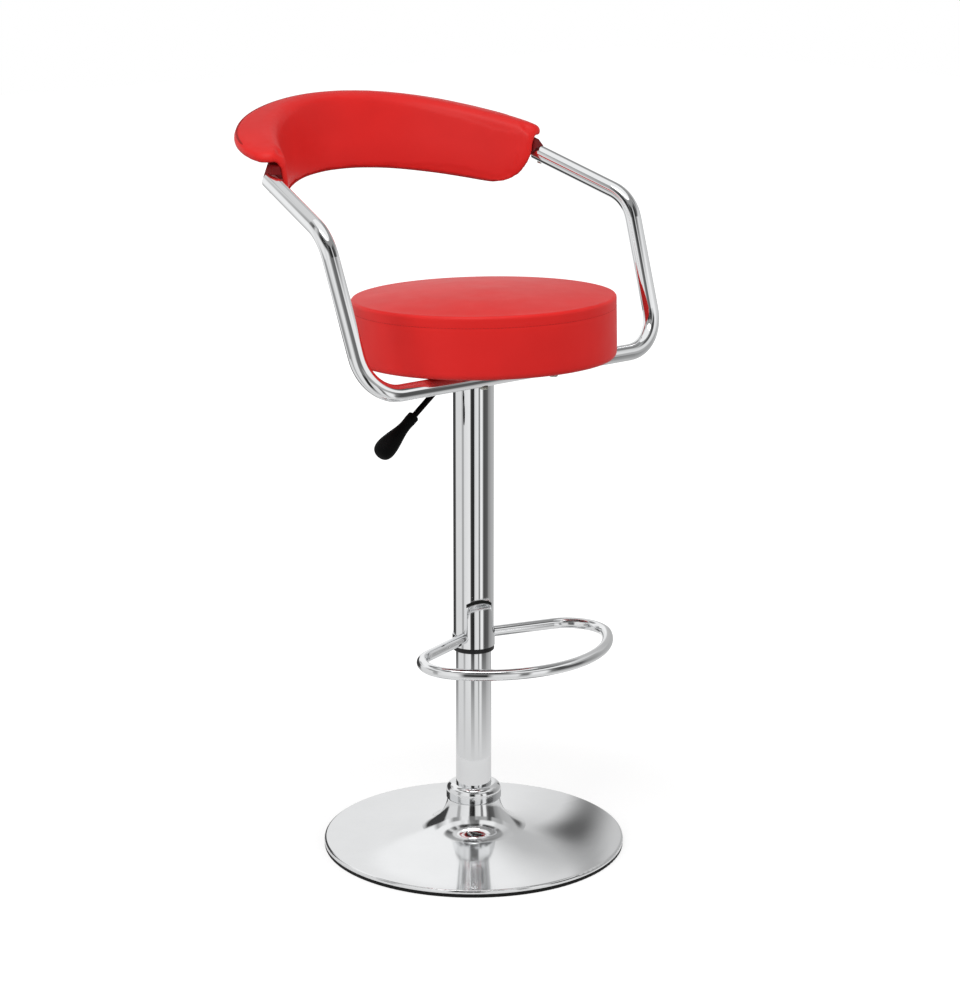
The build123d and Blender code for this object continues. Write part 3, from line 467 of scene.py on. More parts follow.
SEAT_TILT = math.radians(1.6)
SEAT_SIDE_MM = 81.0         # top edge of the side, above the board's underside
SEAT_CROWN_MM = 6.5         # how far the top rises towards its middle
SEAT_ROLL_MM = 4.0          # radius of the top edge
SEAT_FOOT_ROLL_MM = 6.0     # radius of the lower edge
SEAM_MM = SEAT_SIDE_MM - 14.5   # seam of the side band
SEAT_AROUND = 288
SEAT_UP = 120
FORM_AROUND = 96
FORM_UP = 60
FORM_VOXEL_MM = 5.0
SEAT_SHRINK_MM = 3.0        # the foam form starts this much smaller than its cover
SEAT_CAP_MM = 5.0           # the most that the foam form swells
# where the form's cover is held while it swells
HELD_FOOT_MM = 4.0          # at its foot, this far up
HELD_FOOT_IN_MM = 14.0      # and from this far in
HELD_SEAM_MM = 2.6          # at the seam, this far up and down
HELD_TOP_MM = 8.0           # at its top edge, this far down
HELD_TOP_IN_MM = 9.0        # and in
SEAT_SWELL_MM = 2.5         # the most that the cover follows it out, and in
SEAT_SINK_MM = 0.5
CORE_MM = 40.0              # depth of the core, from which the swelling is measured
EDGE_HOLD_MM = 14.0         # a piping cord under the cover holds the top edge over this distance
CORD_MM = 0.35              # and shows through it as a bead
CORD_WIDE_MM = 3.0
GROOVE_MM = 0.4             # the seam pulls a soft groove in the side
GROOVE_WIDE_MM = 1.4
PUCKER_MM = 0.05            # and small puckers below it
PUCKERS = 61
PUCKER_LOW_MM = 4.0
PUCKER_WIDE_MM = 5.0
HEM_IN_MM = 38.0            # how far the cover runs in under the board
HEM_LOW_MM = 0.45           # how far it lies below the board
PLEATS = 41
PLEAT_MM = 1.2              # how far a pleat moves the hem in and out
PLEAT_LOW_MM = 0.12         # and up and down
POCKET_MM = 12.3            # depth of the foam's pocket for the board
POCKET_GAP_MM = 0.3         # gap round the board in it
AXIS_MM = 0.5               # rows round the axis end at this radius, and a face closes them
CROWN_AXIS_MM = 0.4         # the same on top of the cover
OUTLINE_FINE = 400          # points of an outline before it is cut and stepped evenly


def half_width(node):
    """Half of a node's size along X."""
    low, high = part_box(node)
    return (high.x - low.x) / 2


def seat_place():
    """Frame of the seat: its centre on the board's underside, tilted as the board is."""
    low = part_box("seat_board")[0]
    radius = half_width("seat_board")
    centre = Vector((0, low.y + radius * math.cos(SEAT_TILT), low.z + radius * math.sin(SEAT_TILT)))
    return Matrix.Translation(centre) @ Matrix.Rotation(-SEAT_TILT, 4, "X")


SEAT_PLACE = seat_place()
SEAT_RADIUS_MM = half_width("seat_cushion") / MM
BOARD_RADIUS = half_width("seat_board")


def arc_points(centre, radius, start_deg, end_deg, count):
    """Points of an arc in the plane of a half-section."""
    return [(centre[0] + radius * math.cos(math.radians(a)),
             centre[1] + radius * math.sin(math.radians(a)))
            for a in np.linspace(start_deg, end_deg, count)]


def seat_profile(shrink_mm):
    """Half-section of the stuffed cover, in millimetres, from its turned-in foot to its crown."""
    r = SEAT_RADIUS_MM - shrink_mm
    top = SEAT_SIDE_MM - shrink_mm
    roll, foot = SEAT_ROLL_MM, SEAT_FOOT_ROLL_MM
    line = [(0.0, 0.0), (r * 0.5, 0.0), (r - 2 * foot, 0.0)]
    line += arc_points((r - foot, foot), foot, -90, 0, 6)
    line += [(r, z) for z in np.linspace(foot, top - roll, 16)[1:-1]]
    line += arc_points((r - roll, top - roll), roll, 0, 84, 8)
    crown = top + SEAT_CROWN_MM
    for t in np.linspace(0.04, 1.0, 22):
        x = (r - roll) * (1 - t)
        line.append((x, top + (crown - top) * (1 - (x / (r - roll)) ** 2)))
    return line


def resampled(points, count):
    """The same line with points at even distances."""
    points = np.array(points, float)
    steps = np.linalg.norm(np.diff(points, axis=0), axis=1)
    lengths = np.concatenate([[0], np.cumsum(steps)])
    even = np.linspace(0, lengths[-1], count)
    return np.stack([np.interp(even, lengths, points[:, k]) for k in range(points.shape[1])], 1)


def stuffed_seat():
    """The foam form before and after its cover is stuffed, as search trees in the seat's own frame."""
    outline = resampled(seat_profile(SEAT_SHRINK_MM), FORM_UP)
    profile = [(max(x, AXIS_MM) * MM, z * MM) for x, z in outline]
    points = [(x * math.cos(a), x * math.sin(a), z) for x, z in profile for a in circle(FORM_AROUND)]
    faces = grid_faces(FORM_UP, FORM_AROUND) + caps(FORM_UP, FORM_AROUND)
    mesh = bpy.data.meshes.new("seat_form")
    mesh.from_pydata(points, [], faces)
    form = placed("seat_form", mesh)
    apply_modifier(form, "REMESH", mode="VOXEL", voxel_size=FORM_VOXEL_MM * MM)
    slack = surface_of(form)
    rest = coordinates(form)
    height = rest[:, 2]
    radial = np.hypot(rest[:, 0], rest[:, 1])
    foot = height < HELD_FOOT_MM * MM
    foot &= radial < (SEAT_RADIUS_MM - HELD_FOOT_IN_MM) * MM
    seam = np.abs(height - SEAM_MM * MM) < HELD_SEAM_MM * MM
    top_edge = height > (SEAT_SIDE_MM - HELD_TOP_MM) * MM
    top_edge &= radial > (SEAT_RADIUS_MM - HELD_TOP_IN_MM) * MM
    stuff(form, foot | seam | top_edge, SEAT_CAP_MM * MM)
    apply_modifier(form, "SMOOTH", factor=0.5, iterations=3)
    taut = surface_of(form)
    bpy.data.objects.remove(form)
    return slack, taut


def swell(slack, taut, inner, ray):
    """How far the stuffed cover stands out from the slack one along a ray."""
    before, after = slack.ray_cast(inner, ray)[0], taut.ray_cast(inner, ray)[0]
    if before is None or after is None:
        return 0.0
    return min(max((after - before).dot(ray), -SEAT_SINK_MM * MM), SEAT_SWELL_MM * MM)


def bell(distance, width):
    """1 at no distance, falling off over about this width."""
    return math.exp(-(distance / width) ** 2)


def seat_outline():
    """The cover's half-section from where its lower edge turns in up to its crown, in even steps."""
    outline = resampled(seat_profile(0), OUTLINE_FINE)
    outside = (outline[:, 0] >= SEAT_RADIUS_MM - (SEAT_FOOT_ROLL_MM + 0.5)) | (outline[:, 1] > 0.5)
    outline = resampled(outline[np.argmax(outside):], SEAT_UP)
    outline[:, 0] = np.maximum(outline[:, 0], CROWN_AXIS_MM)
    return outline


def stuffed_skin():
    """Points of the cover's side and top as stuffed, with the seam's groove and the cord's bead."""
    slack, taut = stuffed_seat()
    points = []
    for x, z in seat_outline():
        inner = Vector((max(x - CORE_MM, 0) * MM, 0, min(z, SEAT_SIDE_MM - CORE_MM) * MM))
        target = Vector((x * MM, 0, z * MM))
        way = (target - inner).normalized()
        on_side = x > SEAT_RADIUS_MM - 2
        edge = math.hypot(x - (SEAT_RADIUS_MM - 1), z - (SEAT_SIDE_MM - 1))
        free = 1 - bell(edge, EDGE_HOLD_MM)
        groove = -GROOVE_MM * bell(z - SEAM_MM, GROOVE_WIDE_MM) if on_side else 0.0
        bead = CORD_MM * bell(edge, CORD_WIDE_MM)
        drawn = PUCKER_MM * bell(z - SEAM_MM + PUCKER_LOW_MM, PUCKER_WIDE_MM) if on_side else 0.0
        for a in circle(SEAT_AROUND):
            turn = Matrix.Rotation(a, 3, "Z")
            ray = turn @ way
            out = swell(slack, taut, turn @ inner, ray) * free
            pucker = drawn * math.sin(a * PUCKERS + 1.3 * math.sin(a * 7))
            points.append(turn @ target + ray * (out + (groove + bead + pucker) * MM))
    return points


def turned_in_hem():
    """Points of the pocket that holds the board, and of the hem pleated in under the board."""
    pocket = BOARD_RADIUS / MM + POCKET_GAP_MM
    hem = pocket - HEM_IN_MM
    # each row's radius and height, and 1 where it is pleated
    rows = [
        (AXIS_MM, POCKET_MM, 0), (pocket, POCKET_MM, 0), (pocket, -0.06, 0), (hem, -0.08, 1),
        (hem, -HEM_LOW_MM, 1), (pocket - HEM_IN_MM / 2, -HEM_LOW_MM, 1), (pocket - 1, -HEM_LOW_MM, 0),
        (pocket + 4, -0.1, 0),
    ]
    points = []
    for x, z, pleated in rows:
        for a in circle(SEAT_AROUND):
            pleat = math.sin(a * PLEATS + math.sin(a * 5)) * pleated
            r, h = (x + PLEAT_MM * pleat) * MM, (z + PLEAT_LOW_MM * pleat) * MM
            points.append(Vector((r * math.cos(a), r * math.sin(a), h)))
    return points


def seat_cover():
    """The cushion in its cover, closed from the board's pocket round the hem to the crown."""
    points = turned_in_hem() + stuffed_skin()
    rows = len(points) // SEAT_AROUND
    faces = grid_faces(rows, SEAT_AROUND) + caps(rows, SEAT_AROUND)
    cover = new_piece("seat_cover", [SEAT_PLACE @ p for p in points], faces,
                      SEAT_VINYL, "carriage")
    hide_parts("seat_cushion")
    return cover


SEAM_POINTS = 360
THREAD_OUT_MM = 0.05


def seam_line(surface):
    """Closed line round the cushion's side at its seam, laid on its surface."""
    centre = SEAT_PLACE @ Vector((0, 0, SEAM_MM * MM))
    reach = (SEAT_RADIUS_MM + 30) * MM
    line = []
    for a in circle(SEAM_POINTS):
        far = SEAT_PLACE @ Vector((reach * math.cos(a), reach * math.sin(a), SEAM_MM * MM))
        hit = surface.ray_cast(far, (centre - far).normalized())[0]
        line.append(hit + (far - centre).normalized() * THREAD_OUT_MM * MM)
    return line + line[:1]


CLOTH_AROUND = 240
CLOTH_GAP_MM = 1.5          # between the cloth and the mechanism's plate
CLOTH_LAP_MM = 9.0          # how far the cloth covers the hem
# rows of the cloth: 0 at its hole to 1 at its rim, and how far below the board
CLOTH_ROWS = [(0.0, 0.55), (0.5, 0.6), (1.0, 0.6), (1.0, 0.9), (0.5, 0.9), (0.0, 0.85)]


def dust_cover():
    """Black non-woven cloth stapled over the board, cut out round the mechanism's plate."""
    low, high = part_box("mechanism_plate")
    half_x = (high.x - low.x) / 2 + CLOTH_GAP_MM * MM
    half_y = (high.y - low.y) / 2 + CLOTH_GAP_MM * MM
    middle = SEAT_PLACE.inverted() @ ((low + high) / 2)
    outer = BOARD_RADIUS - (HEM_IN_MM - CLOTH_LAP_MM) * MM
    points = []
    for share, drop_mm in CLOTH_ROWS:
        for a in circle(CLOTH_AROUND):
            # a superellipse gives the hole the plate's rounded corners
            near = (abs(math.cos(a) / half_x) ** 8 + abs(math.sin(a) / half_y) ** 8) ** (-1 / 8)
            hole = Vector((middle.x + near * math.cos(a), middle.y + near * math.sin(a), 0))
            rim = Vector((outer * math.cos(a), outer * math.sin(a), 0))
            spot = hole.lerp(rim, share)
            spot.z = -drop_mm * MM
            points.append(SEAT_PLACE @ spot)
    faces = grid_faces(len(CLOTH_ROWS), CLOTH_AROUND, joined=True)
    cloth = new_piece("dust_cover", points, faces, CAMBRIC, "carriage")


STAPLES = 34
STAPLE_HALF_MM = 5.0
STAPLE_LEG_MM = 1.6
STAPLE_WIRE_MM = 0.45
STAPLE_LOW_MM = 1.05        # below the board


def hem_staples():
    """Wire staples that hold the hem to the board, a little turned from each other."""
    points, faces = [], []
    radius = BOARD_RADIUS - (HEM_IN_MM - 3) * MM
    into = Vector((0, 0, STAPLE_LEG_MM * MM))
    for i in range(STAPLES):
        a = 2 * math.pi * (i + 0.5) / STAPLES
        lean = a + math.pi / 2 + 0.25 * math.sin(i * 2.4)
        middle = Vector((radius * math.cos(a), radius * math.sin(a), -STAPLE_LOW_MM * MM))
        along = Vector((math.cos(lean), math.sin(lean), 0)) * STAPLE_HALF_MM * MM
        wire = [middle - along + into, middle - along, middle + along, middle + along + into]
        rings, quads = rope(wire, STAPLE_WIRE_MM * MM, 6)
        gather(points, faces, [SEAT_PLACE @ p for p in rings], quads)
    new_piece("hem_staples", points, faces, ZINC, "carriage")


seat = seat_cover()
sewn("seat_seam_stitches", seam_line(surface_of(seat)), "carriage")
dust_cover()
hem_staples()


# ---- Back rest ----

BACK_VOXEL_MM = 2.8
BACK_INSET_MM = 0.4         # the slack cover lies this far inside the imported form
BACK_CAP_MM = 3.0
BACK_SWELL_MM = 0.9         # how far the panels stand out from the moulded form
LUG_CLEAR_MM = 8.0          # the cover is fixed this far round each lug
BACK_END_MM = 6.0           # radius of the upper front ends, seen from the side
BACK_SOFT_MM = 22.0         # the cut front ends are softened over this depth
BACK_SOFT_ROUNDS = 26
BACK_FOOT_MM = 45.0         # the wall's lower part, which leans back under the cover
BACK_FOOT_LEAN_MM = 3.5
BACK_WITHIN_MM = 5.0        # rays down to the lower edge start this far inside the wall
RAYS_FROM_ABOVE = 2.0       # height from which rays go down to the rest's top
RAYS_FROM_AHEAD = 0.5       # distance from which rays go back to its front ends


def smooth_ends(piece):
    """Softens the cut front ends of the rest, less and less behind them."""
    points = coordinates(piece)
    behind = (points[:, 1] - points[:, 1].min()) / (BACK_SOFT_MM * MM)
    group = piece.vertex_groups.new(name="ends")
    for index in np.flatnonzero(behind < 1):
        group.add([int(index)], float(1 - behind[index] ** 2), "REPLACE")
    apply_modifier(piece, "SMOOTH", factor=0.5, iterations=BACK_SOFT_ROUNDS, vertex_group="ends")
    piece.vertex_groups.clear()


def lean_foot(piece, form):
    """Draws the wall's inner face back towards its lower edge, as stretched vinyl does over foam."""
    points, ways = coordinates(piece), normals(piece)
    across, along = points[:, 0], points[:, 1] - points[:, 1].mean() * 0.4
    # 1 where the surface faces the sitter, and -1 where it faces away
    inward = -across * ways[:, 0] - along * ways[:, 1]
    inward /= np.hypot(across, along)
    for i in np.flatnonzero(inward > 0.5):
        within = Vector(points[i]) - Vector(ways[i]) * BACK_WITHIN_MM * MM
        hit = form.ray_cast(within, Vector((0, 0, -1)))[0]
        if hit is None:
            continue
        share = 1 - (within.z - hit.z) / (BACK_FOOT_MM * MM)
        if 0 < share <= 1:
            points[i] -= ways[i] * BACK_FOOT_LEAN_MM * MM * share * share
    set_coordinates(piece, points)


def roll_ends(piece, form):
    """Rounds the rest's upper front ends back and down, as its ledge runs out to a soft end."""
    roll = BACK_END_MM * MM
    points = coordinates(piece)
    front = points[:, 1].min()
    ends = {}

    def top_of(x, y):
        hit = form.ray_cast(Vector((x, y, RAYS_FROM_ABOVE)), Vector((0, 0, -1)))[0]
        return hit.z if hit else None

    def end_of(x):
        """Where the rest starts at this X, and its top's height and slope just behind."""
        near = top_of(x, front + 5 * roll)
        if near is None:
            return None
        ahead = Vector((x, front - RAYS_FROM_AHEAD, near - 4 * MM))
        hit = form.ray_cast(ahead, Vector((0, 1, 0)))[0]
        if hit is None or hit.y > front + 3 * roll:
            return None
        heights = [top_of(x, hit.y + k * roll) for k in (1, 2)]
        if None in heights:
            return None
        return hit.y, heights[0], (heights[1] - heights[0]) / roll

    for i in np.flatnonzero(points[:, 1] < front + 4 * roll):
        x, y, z = points[i]
        key = round(float(x), 3)
        if key not in ends:
            ends[key] = end_of(key)
        if ends[key] is None:
            continue
        start_y, height, slope = ends[key]
        top = height + (y - start_y - roll) * slope
        ahead, above = roll - (y - start_y), roll - (top - z)
        reach = math.hypot(ahead, above)
        if ahead > 0 and above > 0 and reach > roll:
            points[i, 1] = start_y + roll - ahead * roll / reach
            points[i, 2] = top - roll + above * roll / reach
    set_coordinates(piece, points)
    apply_modifier(piece, "SMOOTH", factor=0.5, iterations=2)


def near_lugs(points):
    """True for the points close to one of the two lugs, where the cover is fixed."""
    lugs = coordinates(NODES["back_sockets"])
    close = np.zeros(len(points), bool)
    for side in (-1, 1):
        lug = lugs[lugs[:, 0] * side > 0]
        low, high = lug.min(0) - LUG_CLEAR_MM * MM, lug.max(0) + LUG_CLEAR_MM * MM
        close |= np.all((points > low) & (points < high), axis=1)
    return close


def back_cover():
    """Foam rest in a tight cover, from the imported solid's own form."""
    source = NODES["backrest"]
    mesh = source.data.copy()
    mesh.name = "back_cover"
    piece = placed("back_cover", mesh)
    form = surface_of(source)
    apply_modifier(piece, "REMESH", mode="VOXEL", voxel_size=BACK_VOXEL_MM * MM)
    apply_modifier(piece, "SMOOTH", factor=0.5, iterations=2)
    lean_foot(piece, form)
    roll_ends(piece, form)
    smooth_ends(piece)
    set_coordinates(piece, coordinates(piece) - normals(piece) * BACK_INSET_MM * MM)
    rest = coordinates(piece)
    stuff(piece, near_lugs(rest), BACK_CAP_MM * MM)
    apply_modifier(piece, "SMOOTH", factor=0.5, iterations=5)
    # the cover swells on its panels, and stays on the moulded form where it would draw in
    out = np.einsum("ij,ij->i", coordinates(piece) - rest, normals(piece))
    out = np.clip(out, 0, BACK_SWELL_MM * MM)
    set_coordinates(piece, rest + normals(piece) * out[:, None])
    apply_modifier(piece, "SMOOTH", factor=0.5, iterations=3)
    mesh = piece.data
    mesh.materials.clear()
    mesh.materials.append(BACK_VINYL)
    mesh.polygons.foreach_set("use_smooth", [True] * len(mesh.polygons))
    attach(piece, "carriage")
    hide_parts("backrest")
    return piece


WELT_RADIUS_MM = 1.6
WELT_CENTRE = np.array([0, 0.06])   # the welts are laid out by the angle round this point
WELT_SECTORS = 61
WELT_POINTS = 220
WELT_TUCK_POINTS = 14       # the welt's ends sink into the rest over this many points
WELT_TUCK_MM = 3.0
WELT_END_DEG = 4.0          # the welts stop this far before the rest's ends
WELT_SECTOR_DEG = 2.0       # a sector's points lie within this of its middle
WELT_REACH_MM = 0.8         # and count when they reach this near to the furthest
WELT_ROUNDS = 3             # of evening out


def back_welt(name, surface_points, outward, upward, out_mm):
    """A darker welt sewn round the rest, where its surface reaches furthest in one slant."""
    spread = surface_points[:, :2] - WELT_CENTRE
    turns = np.degrees(np.arctan2(spread[:, 0], spread[:, 1]))
    reach = np.linalg.norm(spread, axis=1) * outward + surface_points[:, 2] * upward
    last = min(-turns.min(), turns.max()) - WELT_END_DEG
    edge = []
    for turn in np.linspace(-last, last, WELT_SECTORS):
        here = np.abs(turns - turn) < WELT_SECTOR_DEG
        furthest = reach[here].max()
        edge.append(surface_points[here & (reach > furthest - WELT_REACH_MM * MM)].mean(0))
    edge = np.array(edge)
    for _ in range(WELT_ROUNDS):
        edge[1:-1] = (edge[:-2] + 2 * edge[1:-1] + edge[2:]) / 4
    line = resampled(edge, WELT_POINTS)
    away = line[:, :2] - WELT_CENTRE
    away /= np.linalg.norm(away, axis=1)[:, None]
    from_end = np.minimum(np.arange(WELT_POINTS), np.arange(WELT_POINTS)[::-1])
    sunk = np.clip(1 - from_end / WELT_TUCK_POINTS, 0, 1) * WELT_TUCK_MM * MM
    line[:, :2] += away * out_mm * MM - away * (sunk * outward)[:, None]
    line[:, 2] -= sunk * upward
    welt, quads = rope(line, WELT_RADIUS_MM * MM, 8)
    new_piece(name, welt, quads, WELT_VINYL, "carriage")


back_points = coordinates(back_cover())
back_welt("back_edge_welt", back_points, outward=0.0, upward=-1.0, out_mm=-1.4)
back_welt("back_rim_welt", back_points, outward=0.6, upward=0.8, out_mm=0.2)


# ---- Studio ----

CAMERA_AT = Vector((-2.279469, -2.638644, 1.376792))
CAMERA_TURN = (math.radians(90 - 14.401), 0, math.radians(-40.966))
LENS_MM = 97.12
SENSOR_MM = 36.0
SEAT_MIDDLE = (0, 0, 0.75)


def camera():
    """The camera of the main view."""
    lens = bpy.data.cameras.new("camera")
    lens.lens = LENS_MM
    lens.sensor_width = SENSOR_MM
    lens.clip_end = 60
    eye = placed("camera", lens)
    eye.location = CAMERA_AT
    eye.rotation_euler = CAMERA_TURN
    bpy.context.scene.camera = eye


def area_light(name, at, aim, side, watts, glossy):
    """A square soft box; some are kept out of the metal's reflections."""
    lamp = bpy.data.lights.new(name, "AREA")
    lamp.shape = "RECTANGLE"
    lamp.size = lamp.size_y = side
    lamp.energy = watts
    holder = placed(name, lamp)
    holder.location = at
    holder.rotation_euler = (Vector(aim) - Vector(at)).to_track_quat("-Z", "Y").to_euler()
    holder.visible_glossy = glossy


def studio_material(name):
    """A material with nothing in it yet: its tree, and the socket for its surface."""
    material = bpy.data.materials.new(name)
    material.use_nodes = True
    tree = material.node_tree
    tree.nodes.remove(tree.nodes["Principled BSDF"])
    return material, tree, tree.nodes["Material Output"].inputs["Surface"]


def studio_piece(name, points, faces, material, only_reflected=False):
    """A mesh for the studio; some are seen only in the metal's reflections."""
    mesh = bpy.data.meshes.new(name)
    mesh.from_pydata(points, [], faces)
    mesh.materials.append(material)
    thing = placed(name, mesh)
    if only_reflected:
        thing.visible_camera = False
        thing.visible_diffuse = False
        thing.visible_shadow = False
        thing.visible_transmission = False
    return thing


FLOOR_HALF = 9.0
SHADOW_TO = 0.3             # the paper shows its shadow up to here from the column,
WHITE_FROM = 0.9            # and is plain white from here
EYE_LIFT = 0.72             # glow of the paper near the stool, as the camera sees it
MIRROR_LIFT = 0.44          # and as the metal sees it


def floor():
    """Pale seamless paper: it keeps a soft shadow near the stool and runs out to white."""
    material, tree, surface = studio_material("paper_backdrop")
    place = add(tree, "TexCoord").outputs["Object"]
    away = add(tree, "VectorMath", {0: place}, operation="LENGTH").outputs["Value"]
    far = add(tree, "MapRange", {"Value": away, "From Min": SHADOW_TO, "From Max": WHITE_FROM},
              interpolation_type="SMOOTHSTEP")
    paper = add(tree, "BsdfDiffuse", {"Color": linear("#A2A2A2")})
    ray = add(tree, "LightPath")
    bent = add(tree, "Math", {0: ray.outputs["Is Glossy Ray"], 1: ray.outputs["Is Transmission Ray"]},
               operation="MAXIMUM")
    eye_level = add(tree, "MapRange", {"Value": far.outputs["Result"],
                                       "To Min": EYE_LIFT, "To Max": 1.0})
    eye_lift = add(tree, "Math", {0: eye_level.outputs["Result"], 1: ray.outputs["Is Camera Ray"]},
                   operation="MULTIPLY")
    bent_level = add(tree, "MapRange", {"Value": far.outputs["Result"],
                                        "To Min": MIRROR_LIFT, "To Max": 1.0})
    bent_lift = add(tree, "Math", {0: bent_level.outputs["Result"], 1: bent.outputs["Value"]},
                    operation="MULTIPLY")
    lift = add(tree, "Math", {0: eye_lift.outputs["Value"], 1: bent_lift.outputs["Value"]},
               operation="MAXIMUM")
    glow = add(tree, "Emission", {"Color": linear("#FFFFFF"), "Strength": lift.outputs["Value"]})
    both = add(tree, "AddShader", {0: paper.outputs["BSDF"], 1: glow.outputs["Emission"]})
    tree.links.new(both.outputs["Shader"], surface)
    corners = [(-FLOOR_HALF, -FLOOR_HALF, 0), (FLOOR_HALF, -FLOOR_HALF, 0),
               (FLOOR_HALF, FLOOR_HALF, 0), (-FLOOR_HALF, FLOOR_HALF, 0)]
    plane = studio_piece("floor", corners, [(0, 1, 2, 3)], material)


# What the polished metal sees round the stool: a bright tent with dark flags hung in it, which draw
# the lines that chromium needs. Each belt is a height and its brightness by degrees to the right of
# the camera.
TENT_RADIUS = 0.95
TENT_HEIGHT = 2.4
TENT_AROUND = 120
SKIRT_RADIUS = 0.36         # the flags' feet run in over the floor to here, fading to grey
SKIRT_GREY = "#DDDDDD"
BELT_BLEND = 0.2            # a belt turns into the next over this share of their gap, each way
BELTS = [
    (0.40, [
        (-180, 0.88), (-163, 0.88), (-158, 0.05), (-121, 0.06), (-112, 0.78), (-70, 0.78),
        (-65, 0.42), (-57, 0.42), (-52, 0.82), (-19, 0.92), (-14, 0.05), (3, 0.01), (8, 0.78),
        (27, 0.88), (30, 0.2), (35, 0.2), (39, 0.98), (50, 0.98), (55, 0.2), (62, 0.08), (84, 0.12),
        (92, 0.30), (118, 0.46), (138, 0.50), (158, 0.50), (168, 0.72), (176, 0.88),
    ]),
    (0.60, [
        (-180, 1.0), (-148, 1.0), (-137, 0.4), (-120, 0.75), (-105, 1.0), (-92, 0.65), (-80, 0.3),
        (-62, 0.35), (-45, 0.9), (-22, 0.9), (-14, 0.2), (3, 0.2), (8, 0.45), (20, 0.35), (50, 0.45),
        (60, 0.1), (68, 0.1), (75, 0.5), (110, 0.4), (120, 0.6), (140, 0.52), (167, 0.55),
        (175, 0.95), (180, 1.0),
    ]),
    (0.95, [
        (-180, 1.0), (-100, 1.0), (-85, 0.85), (-60, 0.95), (-45, 0.8), (-30, 0.95), (-20, 0.6),
        (-12, 0.2), (12, 0.15), (22, 0.25), (28, 0.95), (80, 1.0), (95, 0.75), (120, 0.7),
        (140, 0.55), (167, 0.6), (175, 0.95), (180, 1.0),
    ]),
    (1.50, [
        (-180, 0.6), (-165, 0.45), (-145, 0.35), (-120, 0.1), (-108, 0.8), (-95, 0.25), (-85, 0.1),
        (-76, 0.75), (-68, 0.5), (-60, 0.12), (-45, 0.02), (-28, 0.03), (-15, 0.14), (-6, 0.04),
        (20, 0.01), (28, 0.3), (36, 0.9), (42, 0.1), (60, 0.03), (75, 0.1), (90, 0.12), (100, 0.5),
        (110, 0.2), (130, 0.35), (150, 0.33), (165, 0.25), (180, 0.5),
    ]),
    (2.10, [(-180, 0.75), (-110, 0.75), (-60, 0.35), (150, 0.3), (180, 0.75)]),
]


def tent():
    """The tent with its flags, turned so that its angles start at the camera."""
    material, tree, surface = studio_material("tent_and_flags")
    place = add(tree, "SeparateXYZ", {"Vector": add(tree, "TexCoord").outputs["Object"]})
    turn = add(tree, "Math", {0: place.outputs["Y"], 1: place.outputs["X"]}, operation="ARCTAN2")
    share = add(tree, "MapRange", {"Value": turn.outputs["Value"],
                                   "From Min": -math.pi, "From Max": math.pi})
    seen = None
    below = 0.0
    for height, stops in BELTS:
        belt = add(tree, "ValToRGB", {"Fac": share.outputs["Result"]},
                   [((degrees + 180) / 360, level) for degrees, level in stops])
        if seen is None:
            seen = belt.outputs["Color"]
        else:
            middle, soft = (below + height) / 2, (height - below) * BELT_BLEND
            rise = add(tree, "MapRange", {"Value": place.outputs["Z"], "From Min": middle - soft,
                                          "From Max": middle + soft}, interpolation_type="SMOOTHSTEP")
            seen = add(tree, "Mix", {0: rise.outputs["Result"], 6: seen, 7: belt.outputs["Color"]},
                       data_type="RGBA").outputs[2]
        below = height
    flat = add(tree, "CombineXYZ", {"X": place.outputs["X"], "Y": place.outputs["Y"]})
    reach = add(tree, "VectorMath", {0: flat.outputs["Vector"]}, operation="LENGTH")
    fade = add(tree, "MapRange", {"Value": reach.outputs["Value"], "From Min": SKIRT_RADIUS,
                                  "From Max": TENT_RADIUS * 0.98, "To Min": 1.0, "To Max": 0.0})
    seen = add(tree, "Mix", {0: fade.outputs["Result"], 6: seen, 7: linear(SKIRT_GREY)},
               data_type="RGBA")
    glow = add(tree, "Emission", {"Color": seen.outputs[2], "Strength": 1.0})
    tree.links.new(glow.outputs["Emission"], surface)
    # the skirt lies just over the floor, then the wall goes up
    rows = ((SKIRT_RADIUS, 0.002), (TENT_RADIUS, 0.0), (TENT_RADIUS, TENT_HEIGHT))
    points = [(r * math.cos(a), r * math.sin(a), z) for r, z in rows for a in circle(TENT_AROUND)]
    wall = studio_piece("tent", points, grid_faces(len(rows), TENT_AROUND), material,
                        only_reflected=True)
    wall.rotation_euler = (0, 0, math.atan2(CAMERA_AT.y, CAMERA_AT.x))


CARD_AT = (0.318, 0.106, 0.117)
CARD_AIM = (0.112, -0.085, 0.013)   # a place on the base pan
CARD_RADIUS = 0.075
CARD_STRETCH = (0.62, 1.4, 1)
CARD_AROUND = 48
CARD_COVER = 0.8            # how much its middle hides


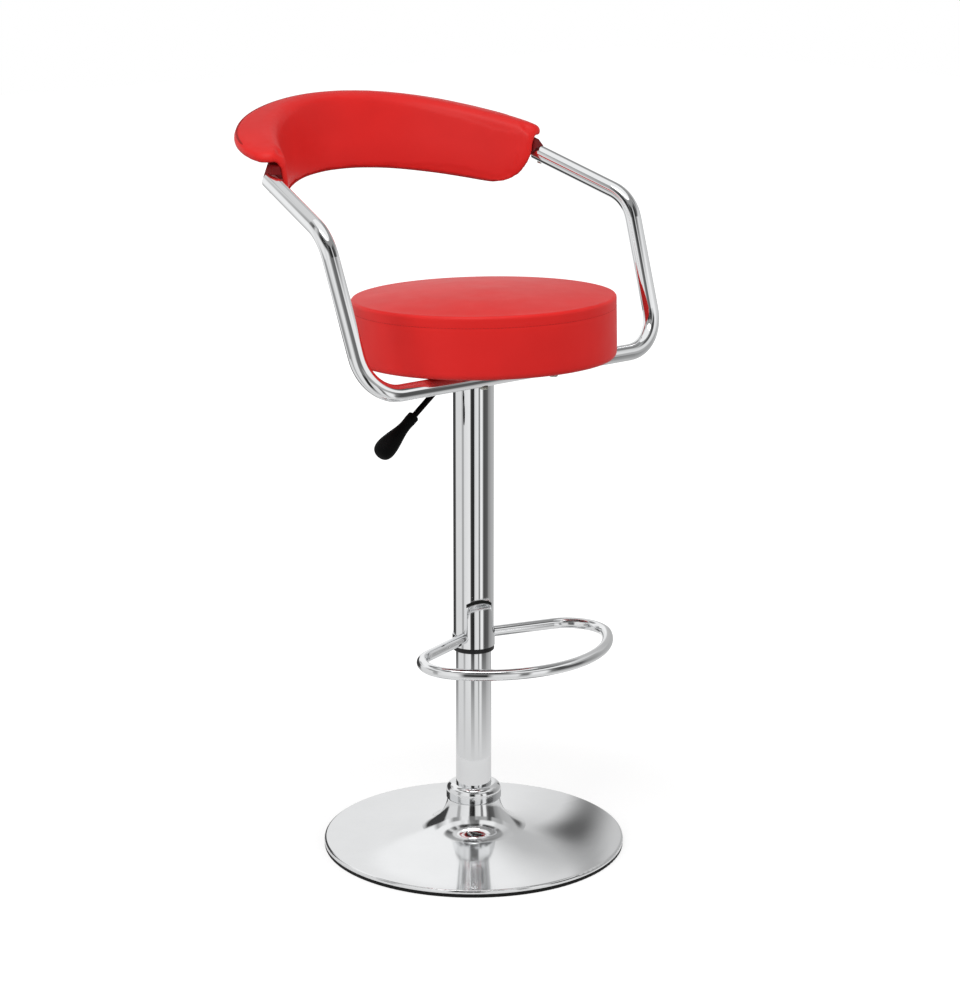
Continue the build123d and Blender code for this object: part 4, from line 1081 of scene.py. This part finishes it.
def soft_card():
    """A small dark card with a faded edge: it gives the base pan the soft patch beside its neck."""
    material, tree, surface = studio_material("faded_card")
    place = add(tree, "TexCoord").outputs["Object"]
    away = add(tree, "VectorMath", {0: place}, operation="LENGTH").outputs["Value"]
    cover = add(tree, "MapRange", {"Value": away, "From Min": CARD_RADIUS * 0.1,
                                   "From Max": CARD_RADIUS * 0.98, "To Min": CARD_COVER,
                                   "To Max": 0.0}, interpolation_type="SMOOTHSTEP")
    black = add(tree, "BsdfDiffuse", {"Color": linear("#050505")})
    clear = add(tree, "BsdfTransparent")
    mixed = add(tree, "MixShader", {0: cover.outputs["Result"], 1: clear.outputs["BSDF"],
                                    2: black.outputs["BSDF"]})
    tree.links.new(mixed.outputs["Shader"], surface)
    rim = [(CARD_RADIUS * math.cos(a), CARD_RADIUS * math.sin(a), 0) for a in circle(CARD_AROUND)]
    card = studio_piece("soft_card", rim, [tuple(range(CARD_AROUND))], material, only_reflected=True)
    card.location = CARD_AT
    card.scale = CARD_STRETCH
    card.rotation_euler = (Vector(CARD_AIM) - Vector(CARD_AT)).to_track_quat("Z", "Y").to_euler()


WORLD_LEVEL = 0.42          # light on the stool; what the camera and the metal see is white


def world():
    """White surroundings that light the stool softly from all sides."""
    surround = bpy.data.worlds.new("studio")
    bpy.context.scene.world = surround
    surround.use_nodes = True
    tree = surround.node_tree
    ray = add(tree, "LightPath")
    seen = add(tree, "Math", {0: ray.outputs["Is Camera Ray"], 1: ray.outputs["Is Glossy Ray"]},
               operation="MAXIMUM")
    seen = add(tree, "Math", {0: seen.outputs["Value"], 1: ray.outputs["Is Transmission Ray"]},
               operation="MAXIMUM")
    level = add(tree, "MapRange", {"Value": seen.outputs["Value"],
                                   "To Min": WORLD_LEVEL, "To Max": 1.0})
    background = tree.nodes["Background"]
    background.inputs["Color"].default_value = linear("#FFFFFF")
    tree.links.new(level.outputs["Result"], background.inputs["Strength"])


camera()
floor()
tent()
soft_card()
world()
area_light("key", (-1.2, -0.8, 2.7), (0, 0, 0.6), side=1.8, watts=33, glossy=True)
area_light("left", (-2.6, -0.2, 1.1), SEAT_MIDDLE, side=1.4, watts=20, glossy=False)
area_light("right", (1.8, -2.1, 1.5), SEAT_MIDDLE, side=1.6, watts=28, glossy=False)
bpy.context.scene.view_settings.view_transform = "Standard"
